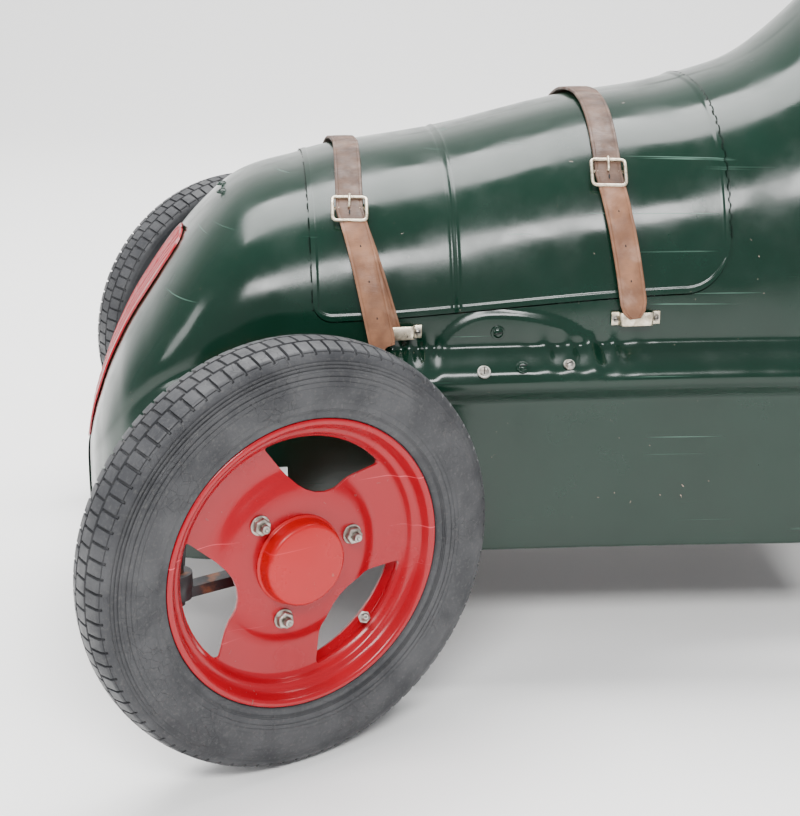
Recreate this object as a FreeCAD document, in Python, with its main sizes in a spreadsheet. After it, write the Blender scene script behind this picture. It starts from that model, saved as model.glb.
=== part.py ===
"""Parametric pedal car: a single-seat racing car for a child, pressed steel on a tube frame.

Frame: +X forward, +Y to the driver's left, +Z up, millimetres. The origin lies on the
ground in the middle of the car. The front wheels stand at the steered angle of the rest pose.
"""
import FreeCAD, Part
import math
import os
import re
import Sketcher
from FreeCAD import Rotation, Vector

SIZES = {
    # running gear
    "front_axle_x": 650, "rear_axle_x": -400, "wheel_radius": 158.75, "tyre_width": 57,
    "rim_radius": 107, "rim_width": 49, "sheet_wheel": 2.4, "hub_radius": 14, "bore_radius": 8.05,
    "stud_circle": 44.5, "opening_inner": 50, "opening_outer": 88, "opening_half": 32,
    "kingpin_y": 263.3, "spindle_length": 30, "rear_wheel_y": 290, "steer_rest": 27, "wheel_roll": -138,
    "steer_arm": 75, "kingpin_radius": 6, "ball_radius": 5, "rod_radius": 5, "axle_radius": 8,
    # steering column
    "column_slope": 25, "column_end_x": 675, "column_end_z": 190, "column_length": 678,
    "steering_ring": 100, "steering_grip": 7.5,
    # pedal drive
    "crank_throw": 50, "crank_y": 75, "pedal_x": 300, "pedal_arm": 160, "rod_height": 12,
    # chassis
    "rail_y": 130, "rail_width": 18, "rail_low": 86, "rail_high": 102, "cross_high": 96,
    # body pressings
    "sheet_body": 2.5, "shell_litres_most": 6, "sill_height": 97, "panel_gap": 1.2,
    "bonnet_front_x": 611, "bonnet_rear_x": 289, "bonnet_front_z": 288, "bonnet_rear_z": 306,
    "axle_gap_low": 120, "axle_gap_high": 204, "rear_gap_high": 180, "cockpit_side_z": 352,
    "scuttle_rear_x": 130, "cockpit_rear_x": -335, "grille_width": 150, "strap_width": 21,
    "seat_height": 238, "seat_width": 236,
}

# Body stations from nose to tail: place along X, half width at the sill, top of the flat side,
# shoulder bulge, height and half width of the crease, height of the crown, squareness.
STATIONS = [
    (800, 26, 116, 0, 132, 22, 146, 2.0), (794, 62, 130, 0, 150, 56, 176, 2.0),
    (782, 98, 152, 0, 176, 92, 214, 2.0), (764, 126, 178, 1, 206, 119, 253, 2.1),
    (738, 147, 200, 3, 234, 138, 294, 2.2), (708, 160, 213, 7, 252, 148, 333, 2.3),
    (676, 165, 220, 12, 260, 151, 364, 2.3), (611, 166, 222, 16, 265, 152, 388, 2.3),
    (500, 166, 222, 17, 267, 153, 407, 2.35), (390, 170, 223, 17, 268, 158, 432, 2.4),
    (289, 175, 224, 17, 269, 164, 449, 2.45), (225, 179, 224, 17, 269, 168, 474, 2.4),
    (175, 181, 224, 17, 269, 171, 520, 2.3), (130, 182, 224, 17, 269, 172, 578, 2.25),
    (40, 183, 224, 17, 269, 173, 590, 2.3), (-100, 183, 224, 16, 269, 173, 540, 2.4),
    (-250, 180, 223, 14, 268, 170, 470, 2.4), (-335, 176, 222, 12, 266, 166, 446, 2.3),
    (-450, 164, 219, 9, 261, 155, 425, 2.2), (-560, 144, 213, 6, 252, 136, 392, 2.1),
    (-660, 117, 203, 4, 238, 110, 345, 2.0), (-735, 86, 187, 2, 217, 80, 290, 2.0),
    (-782, 52, 163, 1, 186, 48, 232, 2.0), (-810, 22, 134, 0, 148, 19, 166, 2.0),
]
STATION_FIELDS = ("along", "sill", "side", "bulge", "crease", "waist", "crown", "square")

SCREW_RADIUS = 4.5
NOSE_SCREWS = ((678, 16, 363), (678, -16, 363))

doc = FreeCAD.newDocument("pedal_car")
sheet = doc.addObject("Spreadsheet::Sheet", "Sizes")
NODES = []


def fill_sheet():
    """Write every driving dimension into the spreadsheet with its alias."""
    cells = dict(SIZES)
    for index, station in enumerate(STATIONS):
        for field, value in zip(STATION_FIELDS, station):
            cells["body_%s_%s" % (chr(ord("a") + index), field)] = value
    for row, (alias, value) in enumerate(cells.items(), start=1):
        sheet.set("A%d" % row, alias)
        sheet.set("B%d" % row, str(value))
        sheet.setAlias("B%d" % row, alias)
    doc.recompute()


def linked(text):
    """Return an expression whose size names point at the spreadsheet."""
    return re.sub(r"[a-z]+(?:_[a-z0-9]+)+",
                  lambda word: "Sizes." + word.group(0) if word.group(0) in SIZES else word.group(0),
                  str(text))


def number(text):
    """Return the value of an expression of size names."""
    return float(sheet.evalExpression(linked(text)))


def bind(thing, prop, text):
    """Bind one property of an object to an expression of size names."""
    thing.setExpression(prop, linked(text))


def bind_place(thing, place):
    """Bind the position of an object to three expressions."""
    for letter, text in zip("xyz", place):
        bind(thing, "Placement.Base." + letter, text)


def turned(thing, place, axis=(0, 0, 1), angle=0.0):
    """Turn an object about an axis through its own origin and put it at a place."""
    thing.Placement = FreeCAD.Placement(Vector(*[number(text) for text in place]),
                                        Rotation(Vector(*axis), angle))
    bind_place(thing, place)
    return thing


def node(thing, label):
    """Register a finished sub-part under the name of its file."""
    thing.Label = label
    NODES.append(thing)
    return thing


def block(name, centre, size):
    """Make a box from its centre and its three sizes."""
    box = doc.addObject("Part::Box", name)
    for prop, text in zip(("Length", "Width", "Height"), size):
        bind(box, prop, text)
    bind_place(box, ["(%s) - (%s) / 2" % pair for pair in zip(centre, size)])
    return box


AIMS = {"x": ((0, 1, 0), 90), "y": ((1, 0, 0), -90), "z": ((0, 0, 1), 0)}


def bar(name, start, radius, length, aim="z"):
    """Make a round bar that runs from its start along X, Y or Z."""
    cylinder = doc.addObject("Part::Cylinder", name)
    bind(cylinder, "Radius", radius)
    bind(cylinder, "Height", length)
    axis, angle = AIMS[aim]
    return turned(cylinder, start, axis, angle)


def fused(name, things):
    """Fuse several objects into one."""
    union = doc.addObject("Part::MultiFuse", name)
    union.Shapes = things
    return union


def cut(name, base, tools):
    """Cut several tools out of a base."""
    tool = tools[0] if len(tools) == 1 else fused(name + "_tools", tools)
    result = doc.addObject("Part::Cut", name)
    result.Base = base
    result.Tool = tool
    return result


def group(name, things):
    """Keep several solids side by side as one sub-part."""
    compound = doc.addObject("Part::Compound", name)
    compound.Links = things
    return compound


def outline(body, name, role, points):
    """Draw a closed outline of straight lines on one of the body's own planes."""
    sketch = body.newObject("Sketcher::SketchObject", name)
    plane = [feature for feature in body.Origin.OriginFeatures if feature.Role == role][0]
    sketch.AttachmentSupport = [(plane, "")]
    sketch.MapMode = "FlatFace"
    places = [Vector(number(across), number(up), 0) for across, up in points]
    count = len(places)
    for index in range(count):
        sketch.addGeometry(Part.LineSegment(places[index], places[(index + 1) % count]))
    for index in range(count):
        sketch.addConstraint(Sketcher.Constraint("Coincident", index, 2, (index + 1) % count, 1))
    for index, texts in enumerate(points):
        for kind, text in zip(("DistanceX", "DistanceY"), texts):
            tie = sketch.addConstraint(Sketcher.Constraint(kind, -1, 1, index, 1, number(text)))
            bind(sketch, "Constraints[%d]" % tie, text)
    return sketch


def lathe(name, points):
    """Turn an outline of radius and place along the axis once round the Y axis."""
    body = doc.addObject("PartDesign::Body", name)
    sketch = outline(body, name + "_outline", "XY_Plane", points)
    turn = body.newObject("PartDesign::Revolution", name + "_turn")
    turn.Profile = sketch
    turn.ReferenceAxis = (sketch, ["V_Axis"])
    turn.Angle = 360
    return body


def padded(name, role, points, length):
    """Pad an outline to both sides of one of the body's planes."""
    body = doc.addObject("PartDesign::Body", name)
    sketch = outline(body, name + "_outline", role, points)
    pad = body.newObject("PartDesign::Pad", name + "_pad")
    pad.Profile = sketch
    pad.SideType = "Symmetric"
    bind(pad, "Length", length)
    return body


def feature(name, shape):
    """Keep a shape made by surface functions as an object."""
    thing = doc.addObject("Part::Feature", name)
    thing.Shape = shape
    thing.Placement = FreeCAD.Placement()
    return thing


# ---------------------------------------------------------------- wheels

TYRE_OUTLINE = [
    ("rim_radius - 10", "-9.5"), ("rim_radius - 10", "9.5"), ("rim_radius - 4.6", "14.6"),
    ("rim_radius + 1", "21.2"), ("rim_radius + 1", "tyre_width / 2 - 3"),
    ("rim_radius + 14", "tyre_width / 2"), ("rim_radius + 27", "tyre_width / 2 - 0.4"),
    ("wheel_radius - 12", "tyre_width / 2 - 3.5"), ("wheel_radius - 4", "tyre_width / 2 - 10"),
    ("wheel_radius - 0.8", "tyre_width / 2 - 18"), ("wheel_radius", "5"),
    ("wheel_radius", "-5"), ("wheel_radius - 0.8", "18 - tyre_width / 2"),
    ("wheel_radius - 4", "10 - tyre_width / 2"), ("wheel_radius - 12", "3.5 - tyre_width / 2"),
    ("rim_radius + 27", "0.4 - tyre_width / 2"), ("rim_radius + 14", "-tyre_width / 2"),
    ("rim_radius + 1", "3 - tyre_width / 2"), ("rim_radius + 1", "-21.2"),
    ("rim_radius - 4.6", "-14.6"),
]

RIM_OUTLINE = [
    ("rim_radius", "22"), ("rim_radius", "rim_width / 2"), ("rim_radius - 4.5", "rim_width / 2"),
    ("rim_radius - 8.5", "16"), ("rim_radius - 14", "13.5"), ("rim_radius - 17", "7"),
    ("62", "5"), ("54", "9"), ("44", "11"), ("bore_radius + 5", "11"), ("bore_radius + 5", "14"),
    ("bore_radius", "14"), ("bore_radius", "-11"), ("hub_radius", "-11"), ("hub_radius", "8.6"),
    ("43", "8.6"), ("52", "6.6"), ("61", "5 - sheet_wheel"), ("rim_radius - 14", "4"),
    ("rim_radius - 13", "-12.4"), ("rim_radius - 8.6", "-16"),
    ("rim_radius - 4.5", "-rim_width / 2"), ("rim_radius", "-rim_width / 2"),
    ("rim_radius", "-22"), ("rim_radius - 5.6", "-14.4"), ("rim_radius - 10.6", "-10"),
    ("rim_radius - 10.6", "10"), ("rim_radius - 5.6", "14.4"),
]


def wheel_openings(rim, name):
    """Cut three openings through the wheel disc, leaving three broad spokes."""
    half = number("opening_half")
    points = []
    for radius, angles in (("opening_inner", (-0.26, 0, 0.26)),
                           ("opening_outer", (1, 0.5, 0, -0.5, -1))):
        for share in angles:
            angle = math.radians(90 + share * half)
            points.append(("%s * %.5f" % (radius, math.cos(angle)),
                           "%s * %.5f" % (radius, math.sin(angle))))
    sketch = outline(rim, name + "_opening", "XZ_Plane", points)
    pocket = rim.newObject("PartDesign::Pocket", name + "_pocket")
    pocket.Profile = sketch
    pocket.SideType = "Symmetric"
    pocket.Length = 40
    doc.recompute()
    pattern = rim.newObject("PartDesign::PolarPattern", name + "_pattern")
    pattern.Originals = [pocket]
    pattern.Axis = (sketch, ["N_Axis"])
    pattern.Angle = 360
    pattern.Occurrences = 3
    rim.Tip = pattern


def wheel_nuts(name):
    """Make three hexagon nuts on their studs round the hub cap."""
    pieces = []
    for index in range(3):
        angle = math.radians(-90 + index * 120)
        place = ["stud_circle * %.5f" % math.cos(angle), "11", "stud_circle * %.5f" % math.sin(angle)]
        nut = doc.addObject("Part::Prism", "%s_%d" % (name, index))
        nut.Polygon = 6
        nut.Circumradius = 7
        nut.Height = 6
        turned(nut, place, (1, 0, 0), -90)
        stud = bar("%s_stud_%d" % (name, index), place, "3", "10", "y")
        pieces.append(fused("%s_fused_%d" % (name, index), [nut, stud]))
    return group(name, pieces)


def valve(name):
    """Make the valve stem that stands out of the rim well in one opening."""
    stem = bar(name + "_stem", ("0", "-2", "rim_radius - 27"), "3", "23", "y")
    cap = bar(name + "_cap", ("0", "21", "rim_radius - 27"), "4", "8", "y")
    root = bar(name + "_root", ("0", "1", "rim_radius - 27"), "2.6", "12.8", "z")
    return fused(name, [stem, cap, root])


HUB_CAP_OUTLINE = [
    ("0", "20"), ("31", "11"), ("32", "11"), ("31.6", "13.4"), ("27", "18.6"), ("19", "22.6"),
    ("10", "24.8"), ("0", "25.4"),
]


def wheel(corner, place, angle, roll):
    """Make one wheel whose axle is local +Y outward, rolled to its own angle, at its corner."""
    tyre = lathe("tyre_body_" + corner, TYRE_OUTLINE)
    rim = lathe("rim_body_" + corner, RIM_OUTLINE)
    wheel_openings(rim, "rim_" + corner)
    cap = lathe("cap_body_" + corner, HUB_CAP_OUTLINE)
    parts = {"tyre": tyre, "rim": rim, "hub_cap": cap, "wheel_nuts": wheel_nuts("nuts_" + corner),
             "valve": group("valve_group_" + corner, [valve("valve_" + corner + "_body")])}
    facing = Rotation(Vector(0, 0, 1), angle).multiply(Rotation(Vector(0, 1, 0), roll))
    for kind, thing in parts.items():
        thing.Placement = FreeCAD.Placement(Vector(*[number(text) for text in place]), facing)
        bind_place(thing, place)
        node(thing, "%s_%s" % (kind, corner))


def all_wheels():
    """Make the four wheels: the front pair steered, the rear pair straight."""
    steer = number("steer_rest")
    shift = "spindle_length * sin(steer_rest * 1 deg)"
    reach = "(kingpin_y + spindle_length * cos(steer_rest * 1 deg))"
    wheel("front_left", ("front_axle_x - " + shift, reach, "wheel_radius"), steer,
          number("wheel_roll"))
    wheel("front_right", ("front_axle_x + " + shift, "-" + reach, "wheel_radius"), 180 + steer, 40)
    wheel("rear_left", ("rear_axle_x", "rear_wheel_y", "wheel_radius"), 0, 75)
    wheel("rear_right", ("rear_axle_x", "-rear_wheel_y", "wheel_radius"), 180, -20)


# ---------------------------------------------------------------- front axle and steering

KINGPINS = {"left": 1, "right": -1}


def front_axle():
    """Make the front axle beam with an upright sleeve for each kingpin."""
    beam = bar("beam_bar", ("front_axle_x", "-kingpin_y", "wheel_radius"), "10", "2 * kingpin_y", "y")
    sleeves = [bar("beam_sleeve_" + side, ("front_axle_x", "%d * kingpin_y" % sign, "wheel_radius - 18"),
                   "11", "36") for side, sign in KINGPINS.items()]
    bores = [bar("beam_bore_" + side, ("front_axle_x", "%d * kingpin_y" % sign, "wheel_radius - 20"),
                 "kingpin_radius + 0.06", "40") for side, sign in KINGPINS.items()]
    node(cut("front_axle_cut", fused("front_axle_solid", [beam] + sleeves), bores), "front_axle_beam")


def stub_axle(side, sign):
    """Make a steering knuckle: yoke, kingpin, spindle and forward arm with its ball pin."""
    def out(low, high):
        return "%g" % (sign * (low + high) / 2)

    top = block("yoke_top_" + side, ("0", out(-12, 18), "22.4"), ("24", "30", "8"))
    low = block("yoke_low_" + side, ("0", out(-12, 18), "-22.4"), ("24", "30", "8"))
    back = block("yoke_back_" + side, ("0", out(12, 18), "0"), ("24", "6", "52"))
    pin = bar("yoke_pin_" + side, ("0", "0", "-30"), "kingpin_radius", "60")
    spindle = bar("spindle_" + side, ("0", "18" if sign > 0 else "-18 - 26", "0"), "axle_radius", "26", "y")
    arm = block("arm_" + side, ("steer_arm / 2", "0", "-22.4"), ("steer_arm", "12", "8"))
    arm_end = bar("arm_end_" + side, ("steer_arm", "0", "-26.4"), "10", "8")
    ball = bar("arm_ball_" + side, ("steer_arm", "0", "-32"), "ball_radius", "44")
    solid = fused("stub_solid_" + side, [top, low, back, pin, spindle, arm, arm_end, ball])
    holder = group("stub_group_" + side, [solid])
    turned(holder, ("front_axle_x", "%d * kingpin_y" % sign, "wheel_radius"), (0, 0, 1),
           number("steer_rest"))
    node(holder, "stub_axle_" + side)


ROD_X = "(front_axle_x + steer_arm * cos(steer_rest * 1 deg))"
ROD_SHIFT = "steer_arm * sin(steer_rest * 1 deg)"


def track_rod():
    """Make the track rod with an eye at each end and the open fork for the drop arm's pin."""
    height = "wheel_radius - 12.5"
    rod = bar("rod_bar", (ROD_X, "%s - kingpin_y" % ROD_SHIFT, height), "rod_radius", "2 * kingpin_y", "y")
    eyes = []
    bores = []
    for side, sign in KINGPINS.items():
        place = (ROD_X, "%s + %d * kingpin_y" % (ROD_SHIFT, sign), "wheel_radius - 18")
        eyes.append(bar("rod_eye_" + side, place, "11", "11"))
        bores.append(bar("rod_bore_" + side, (place[0], place[1], "wheel_radius - 30"),
                         "ball_radius + 0.06", "40"))
    plates = [block("rod_fork_%d" % sign, (ROD_X + " + 13", "%s + %d * 8" % (ROD_SHIFT, sign), "204"),
                    ("28", "5", "116")) for sign in (1, -1)]
    foot = block("rod_fork_foot", (ROD_X + " + 8.5", ROD_SHIFT, "wheel_radius - 10"), ("37", "21", "10"))
    node(cut("track_rod_cut", fused("track_rod_solid", [rod, foot] + eyes + plates), bores), "track_rod")


def on_column(distance, up=0.0):
    """Return the place on the column's axis at a distance behind its lower end."""
    slope = "column_slope * 1 deg"
    along = "column_end_x - (%s) * cos(%s) + %g * sin(%s)" % (distance, slope, up, slope)
    height = "column_end_z + (%s) * sin(%s) + %g * cos(%s)" % (distance, slope, up, slope)
    return (along, "0", height)


def along_column(thing, distance):
    """Put an object whose local +Z is the column on the column's axis."""
    return turned(thing, on_column(distance), (0, 1, 0), number("column_slope") - 90)


def steering_column():
    """Make the column with the upward drop arm and its pin, turned to the steered angle."""
    shaft = bar("column_shaft", ("0", "0", "-6"), "axle_radius", "column_length + 6")
    arm = block("drop_arm_plate", ("steer_arm / 2", "0", "-3"), ("steer_arm + 18", "18", "6"))
    pin = bar("drop_arm_pin", ("steer_arm", "0", "-38"), "ball_radius", "38")
    solid = group("column_group", [fused("column_solid", [shaft, arm, pin])])
    tilt = Rotation(Vector(0, 1, 0), number("column_slope") - 90)
    spin = Rotation(Vector(0, 0, 1), number("steer_rest"))
    place = on_column("0")
    solid.Placement = FreeCAD.Placement(Vector(*[number(text) for text in place]), tilt.multiply(spin))
    bind_place(solid, place)
    node(solid, "steering_column")


def steering_wheel():
    """Make the three-spoke steering wheel with its grip ring and centre boss."""
    ring = doc.addObject("Part::Torus", "steering_ring_body")
    bind(ring, "Radius1", "steering_ring")
    bind(ring, "Radius2", "steering_grip")
    boss = bar("steering_boss", ("0", "0", "-12"), "20", "20")
    spokes = []
    for index in range(3):
        spoke = block("steering_spoke_%d" % index, ("steering_ring / 2", "0", "0"),
                      ("steering_ring - 6", "18", "4"))
        holder = group("steering_spoke_group_%d" % index, [spoke])
        spokes.append(turned(holder, ("0", "0", "0"), (0, 0, 1), 60 + 120 * index))
    solid = fused("steering_wheel_solid", [ring, boss] + spokes)
    bore = bar("steering_bore", ("0", "0", "-20"), "bore_radius", "22")
    holder = group("steering_wheel_group", [cut("steering_wheel_cut", solid, [bore])])
    tilt = Rotation(Vector(0, 1, 0), number("column_slope") - 90)
    spin = Rotation(Vector(0, 0, 1), number("steer_rest"))
    place = on_column("column_length - 2")
    holder.Placement = FreeCAD.Placement(Vector(*[number(text) for text in place]), tilt.multiply(spin))
    bind_place(holder, place)
    node(holder, "steering_wheel")


def column_bearings():
    """Make the two bearings that carry the column, one on a post and one behind the dashboard."""
    bore = along_column(bar("bearing_bore", ("0", "0", "0"), "bore_radius", "column_length"), "0")
    front = along_column(bar("bearing_front", ("0", "0", "0"), "14", "30"), "50")
    post = block("bearing_post", (on_column("65")[0], "0", "158"), ("14", "20", "124"))
    rear = along_column(bar("bearing_rear", ("0", "0", "0"), "14", "44"), "column_length - 122")
    plate = block("bearing_plate", ("154.6", "0", "438"), ("3", "56", "64"))
    pieces = [cut("bearing_front_cut", fused("bearing_front_solid", [front, post]), [bore]),
              cut("bearing_rear_cut", fused("bearing_rear_solid", [rear, plate]), [bore])]
    node(group("column_bearings_group", pieces), "column_bearings")


# ---------------------------------------------------------------- pedal drive

def crank_axle():
    """Make the rear axle with one crank throw forward on the left and one back on the right."""
    pieces = [bar("axle_middle", ("rear_axle_x", "-crank_y + 10", "wheel_radius"), "axle_radius",
                  "2 * crank_y - 20", "y")]
    for side, sign in KINGPINS.items():
        throw = "(rear_axle_x + %d * crank_throw)" % sign
        start = "crank_y + 10" if sign > 0 else "-rear_wheel_y - 14"
        pieces.append(bar("axle_outer_" + side, ("rear_axle_x", start, "wheel_radius"), "axle_radius",
                          "rear_wheel_y + 14 - crank_y - 10", "y"))
        pin_start = "%d * crank_y - 11" % sign
        pieces.append(bar("crank_pin_" + side, (throw, pin_start, "wheel_radius"), "axle_radius", "22", "y"))
        for offset in (-12, 12):
            place = ("rear_axle_x + %d * crank_throw / 2" % sign, "%d * crank_y + %d" % (sign, offset),
                     "wheel_radius")
            pieces.append(block("crank_web_%s_%d" % (side, offset > 0), place,
                                ("crank_throw + 20", "6", "20")))
    node(fused("crank_axle_solid", pieces), "crank_axle")


def axle_bearings():
    """Make the two rear axle bearing blocks that stand on the rails."""
    pieces = []
    for sign in (1, -1):
        solid = block("axle_block_%d" % sign, ("rear_axle_x", "%d * rail_y" % sign,
                      "(rail_high + wheel_radius + 20) / 2"), ("40", "22", "wheel_radius + 20 - rail_high"))
        bore = bar("axle_block_bore_%d" % sign, ("rear_axle_x", "%d * rail_y - 20" % sign, "wheel_radius"),
                   "bore_radius", "40", "y")
        pieces.append(cut("axle_block_cut_%d" % sign, solid, [bore]))
    node(group("axle_bearings_group", pieces), "axle_bearings")


PEDAL_HEIGHT = "(wheel_radius + sqrt(pedal_arm ^ 2 - crank_throw ^ 2))"


def pedals():
    """Make the hanging pedals at the two ends of their swing, and the shaft they hang on."""
    swing = math.degrees(math.asin(number("crank_throw") / number("pedal_arm")))
    for side, sign in KINGPINS.items():
        arm_y = "%d * (crank_y + 6.4)" % sign
        hub = bar("pedal_hub_" + side, ("0", "%s - 12" % arm_y, "0"), "13", "24", "y")
        arm = block("pedal_bar_" + side, ("0", arm_y, "-(pedal_arm + 36) / 2"), ("14", "6", "pedal_arm + 36"))
        pad = block("pedal_pad_" + side, ("0", "%d * (crank_y + 34)" % sign, "-pedal_arm - 22"),
                    ("12", "60", "42"))
        bore = bar("pedal_bore_" + side, ("0", "%s - 20" % arm_y, "0"), "bore_radius", "40", "y")
        solid = cut("pedal_cut_" + side, fused("pedal_solid_" + side, [hub, arm, pad]), [bore])
        holder = turned(group("pedal_group_" + side, [solid]), ("pedal_x", "0", PEDAL_HEIGHT),
                        (0, 1, 0), -sign * swing)
        node(holder, "pedal_" + side)
        pedal_rod(side, sign)
    shaft = bar("pedal_shaft_bar", ("pedal_x", "-149", PEDAL_HEIGHT), "axle_radius", "298", "y")
    posts = [block("pedal_post_%d" % sign, ("pedal_x", "%d * 144.6" % sign, "(rail_high + 324) / 2"),
                   ("22", "5", "324 - rail_high")) for sign in (1, -1)]
    feet = [block("pedal_foot_%d" % sign, ("pedal_x", "%d * 136" % sign, "rail_high + 2"),
                  ("40", "22", "4")) for sign in (1, -1)]
    node(fused("pedal_shaft_solid", [shaft] + posts + feet), "pedal_shaft")


def pedal_rod(side, sign):
    """Make the flat push rod from a crank pin to the side of its pedal arm."""
    length = "pedal_x - rear_axle_x"
    middle = "(pedal_x + rear_axle_x) / 2 + %d * crank_throw" % sign
    offset = "%d * crank_y" % sign
    strip = block("rod_strip_" + side, (middle, offset, "wheel_radius"), (length, "6", "rod_height"))
    rear = bar("rod_rear_" + side, ("rear_axle_x + %d * crank_throw" % sign, offset + " - 7",
               "wheel_radius"), "13", "14", "y")
    front = bar("rod_front_" + side, ("pedal_x + %d * crank_throw" % sign, offset + " - 3",
                "wheel_radius"), "9", "6", "y")
    bore = bar("rod_rear_bore_" + side, ("rear_axle_x + %d * crank_throw" % sign, offset + " - 20",
               "wheel_radius"), "bore_radius", "40", "y")
    solid = fused("rod_flat_" + side, [strip, rear, front])
    node(cut("rod_flat_cut_" + side, solid, [bore]), "pedal_rod_" + side)


# ---------------------------------------------------------------- chassis and cockpit

def chassis():
    """Make the two rails, the perches that carry the front axle, and the cross members between."""
    pieces = []
    for sign in (1, -1):
        pieces.append(block("rail_%d" % sign, ("60", "%d * rail_y" % sign, "(rail_low + rail_high) / 2"),
                            ("1240", "rail_width", "rail_high - rail_low")))
        pieces.append(block("perch_%d" % sign, ("front_axle_x", "%d * rail_y" % sign,
                            "(rail_high + wheel_radius - 10) / 2"),
                            ("26", "16", "wheel_radius - 10 - rail_high")))
    for index, place in enumerate((-540, -290, -40, 210, 470, 616)):
        pieces.append(block("cross_%d" % index, (str(place), "0", "(rail_low + cross_high) / 2"),
                            ("22", "2 * rail_y - rail_width", "cross_high - rail_low")))
    node(group("chassis_group", pieces), "chassis_frame")


def cockpit_parts():
    """Make the floor, seat pan, cushion, backrest, dashboard, dials and handbrake."""
    node(block("floor_plate", ("295", "0", "cross_high + 1"), ("330", "2 * rail_y - rail_width - 2", "2")),
         "floor_pan")
    pan = block("pan_plate", ("-180", "0", "seat_height - 3"), ("250", "seat_width", "6"))
    legs = [block("pan_leg_%d" % sign, ("-180", "%d * 124" % sign, "(rail_high + seat_height) / 2"),
                  ("200", "4", "seat_height - rail_high")) for sign in (1, -1)]
    brace = [block("pan_brace_%d" % sign, ("-180", "%d * 119" % sign, "seat_height - 3"),
                   ("200", "14", "6")) for sign in (1, -1)]
    node(fused("seat_pan_solid", [pan] + legs + brace), "seat_pan")
    cushion = padded("cushion_body", "XZ_Plane", [
        ("-296", "seat_height + 0.3"), ("-66", "seat_height + 0.3"), ("-60", "seat_height + 30"),
        ("-72", "seat_height + 44"), ("-280", "seat_height + 40"), ("-296", "seat_height + 32")],
        "seat_width - 6")
    node(cushion, "seat_cushion")
    back = padded("backrest_body", "XZ_Plane", [
        ("-298", "seat_height + 2"), ("-298", "seat_height + 46"), ("-314", "seat_height + 160"),
        ("-322", "seat_height + 168"), ("-332", "seat_height + 162"), ("-332", "seat_height + 60"),
        ("-324", "seat_height + 2")], "seat_width - 28")
    node(back, "seat_back")
    handbrake()


def handbrake():
    """Make the handbrake lever and the bracket it turns on, at the driver's right."""
    plate = block("brake_plate", ("-10", "-134", "(rail_high + 150) / 2"), ("44", "5", "150 - rail_high"))
    bolt = bar("brake_bolt", ("-10", "-152", "136"), "ball_radius", "20", "y")
    node(fused("brake_bracket_solid", [plate, bolt]), "handbrake_bracket")
    lever = block("brake_lever_bar", ("-10", "-141", "214"), ("14", "6", "170"))
    eye = bar("brake_eye", ("-10", "-144", "136"), "13", "6", "y")
    knob = bar("brake_knob", ("-10", "-141", "298"), "9", "44")
    bore = bar("brake_bore", ("-10", "-160", "136"), "ball_radius + 0.06", "40", "y")
    node(cut("brake_lever_cut", fused("brake_lever_solid", [lever, eye, knob]), [bore]), "handbrake_lever")


# ---------------------------------------------------------------- dummy engine

ENGINE_Y = "-72"


def engine():
    """Make the dummy engine: block on its mounts, ribbed cover, plugs and plug leads."""
    block_part = block("engine_core", ("480", ENGINE_Y, "255"), ("190", "84", "96"))
    mounts = [block("engine_mount_%d" % place, (str(place), "-124", "(rail_high + 240) / 2"),
                    ("24", "24", "240 - rail_high")) for place in (410, 550)]
    node(fused("engine_solid", [block_part] + mounts), "engine_block")
    cover = [block("cover_core", ("480", ENGINE_Y, "317"), ("176", "46", "28"))]
    cover += [block("cover_rib_%d" % index, ("%g" % (480 + 24 * (index - 3)), ENGINE_Y, "319"),
                    ("6", "52", "30")) for index in range(7)]
    node(fused("cover_solid", cover), "rocker_cover")
    plugs = []
    leads = []
    for index in range(4):
        place = 480 + 42 * (index - 1.5)
        base = bar("plug_base_%d" % index, ("%g" % place, "-38", "303"), "6", "12")
        tip = bar("plug_tip_%d" % index, ("%g" % place, "-38", "315"), "4", "14")
        plugs.append(fused("plug_%d" % index, [base, tip]))
        leads.append(plug_lead(index, place))
    node(group("spark_plugs_group", plugs), "spark_plugs")
    leads.append(bar("distributor_body", ("570", "-38", "303"), "9.5", "70"))
    node(group("plug_leads_group", leads), "plug_leads")


def plug_lead(index, place):
    """Make one lead: up from its plug, over in an arc and forward, the rear ones above the front ones."""
    radius = 9
    height = 329
    top = height + 8 + 7 * (3 - index)
    start = Vector(place, -38, height)
    rise = Vector(place, -38, top)
    over = Vector(place + radius, -38, top + radius)
    end = Vector(560.4, -38, top + radius)
    bend = rise + Vector(radius * (1 - math.cos(math.pi / 4)), 0, radius * math.sin(math.pi / 4))
    path = Part.Wire([Part.LineSegment(start, rise).toShape(), Part.Arc(rise, bend, over).toShape(),
                      Part.LineSegment(over, end).toShape()])
    circle = Part.Wire(Part.Circle(start, Vector(0, 0, 1), 2.4).toShape())
    return feature("plug_lead_%d" % index, path.makePipeShell([circle], True, True))


# ---------------------------------------------------------------- body pressings

def station_size(index, field):
    """Read one value of a body station from the spreadsheet."""
    return float(sheet.get("body_%s_%s" % (chr(ord("a") + index), field)))


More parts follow.
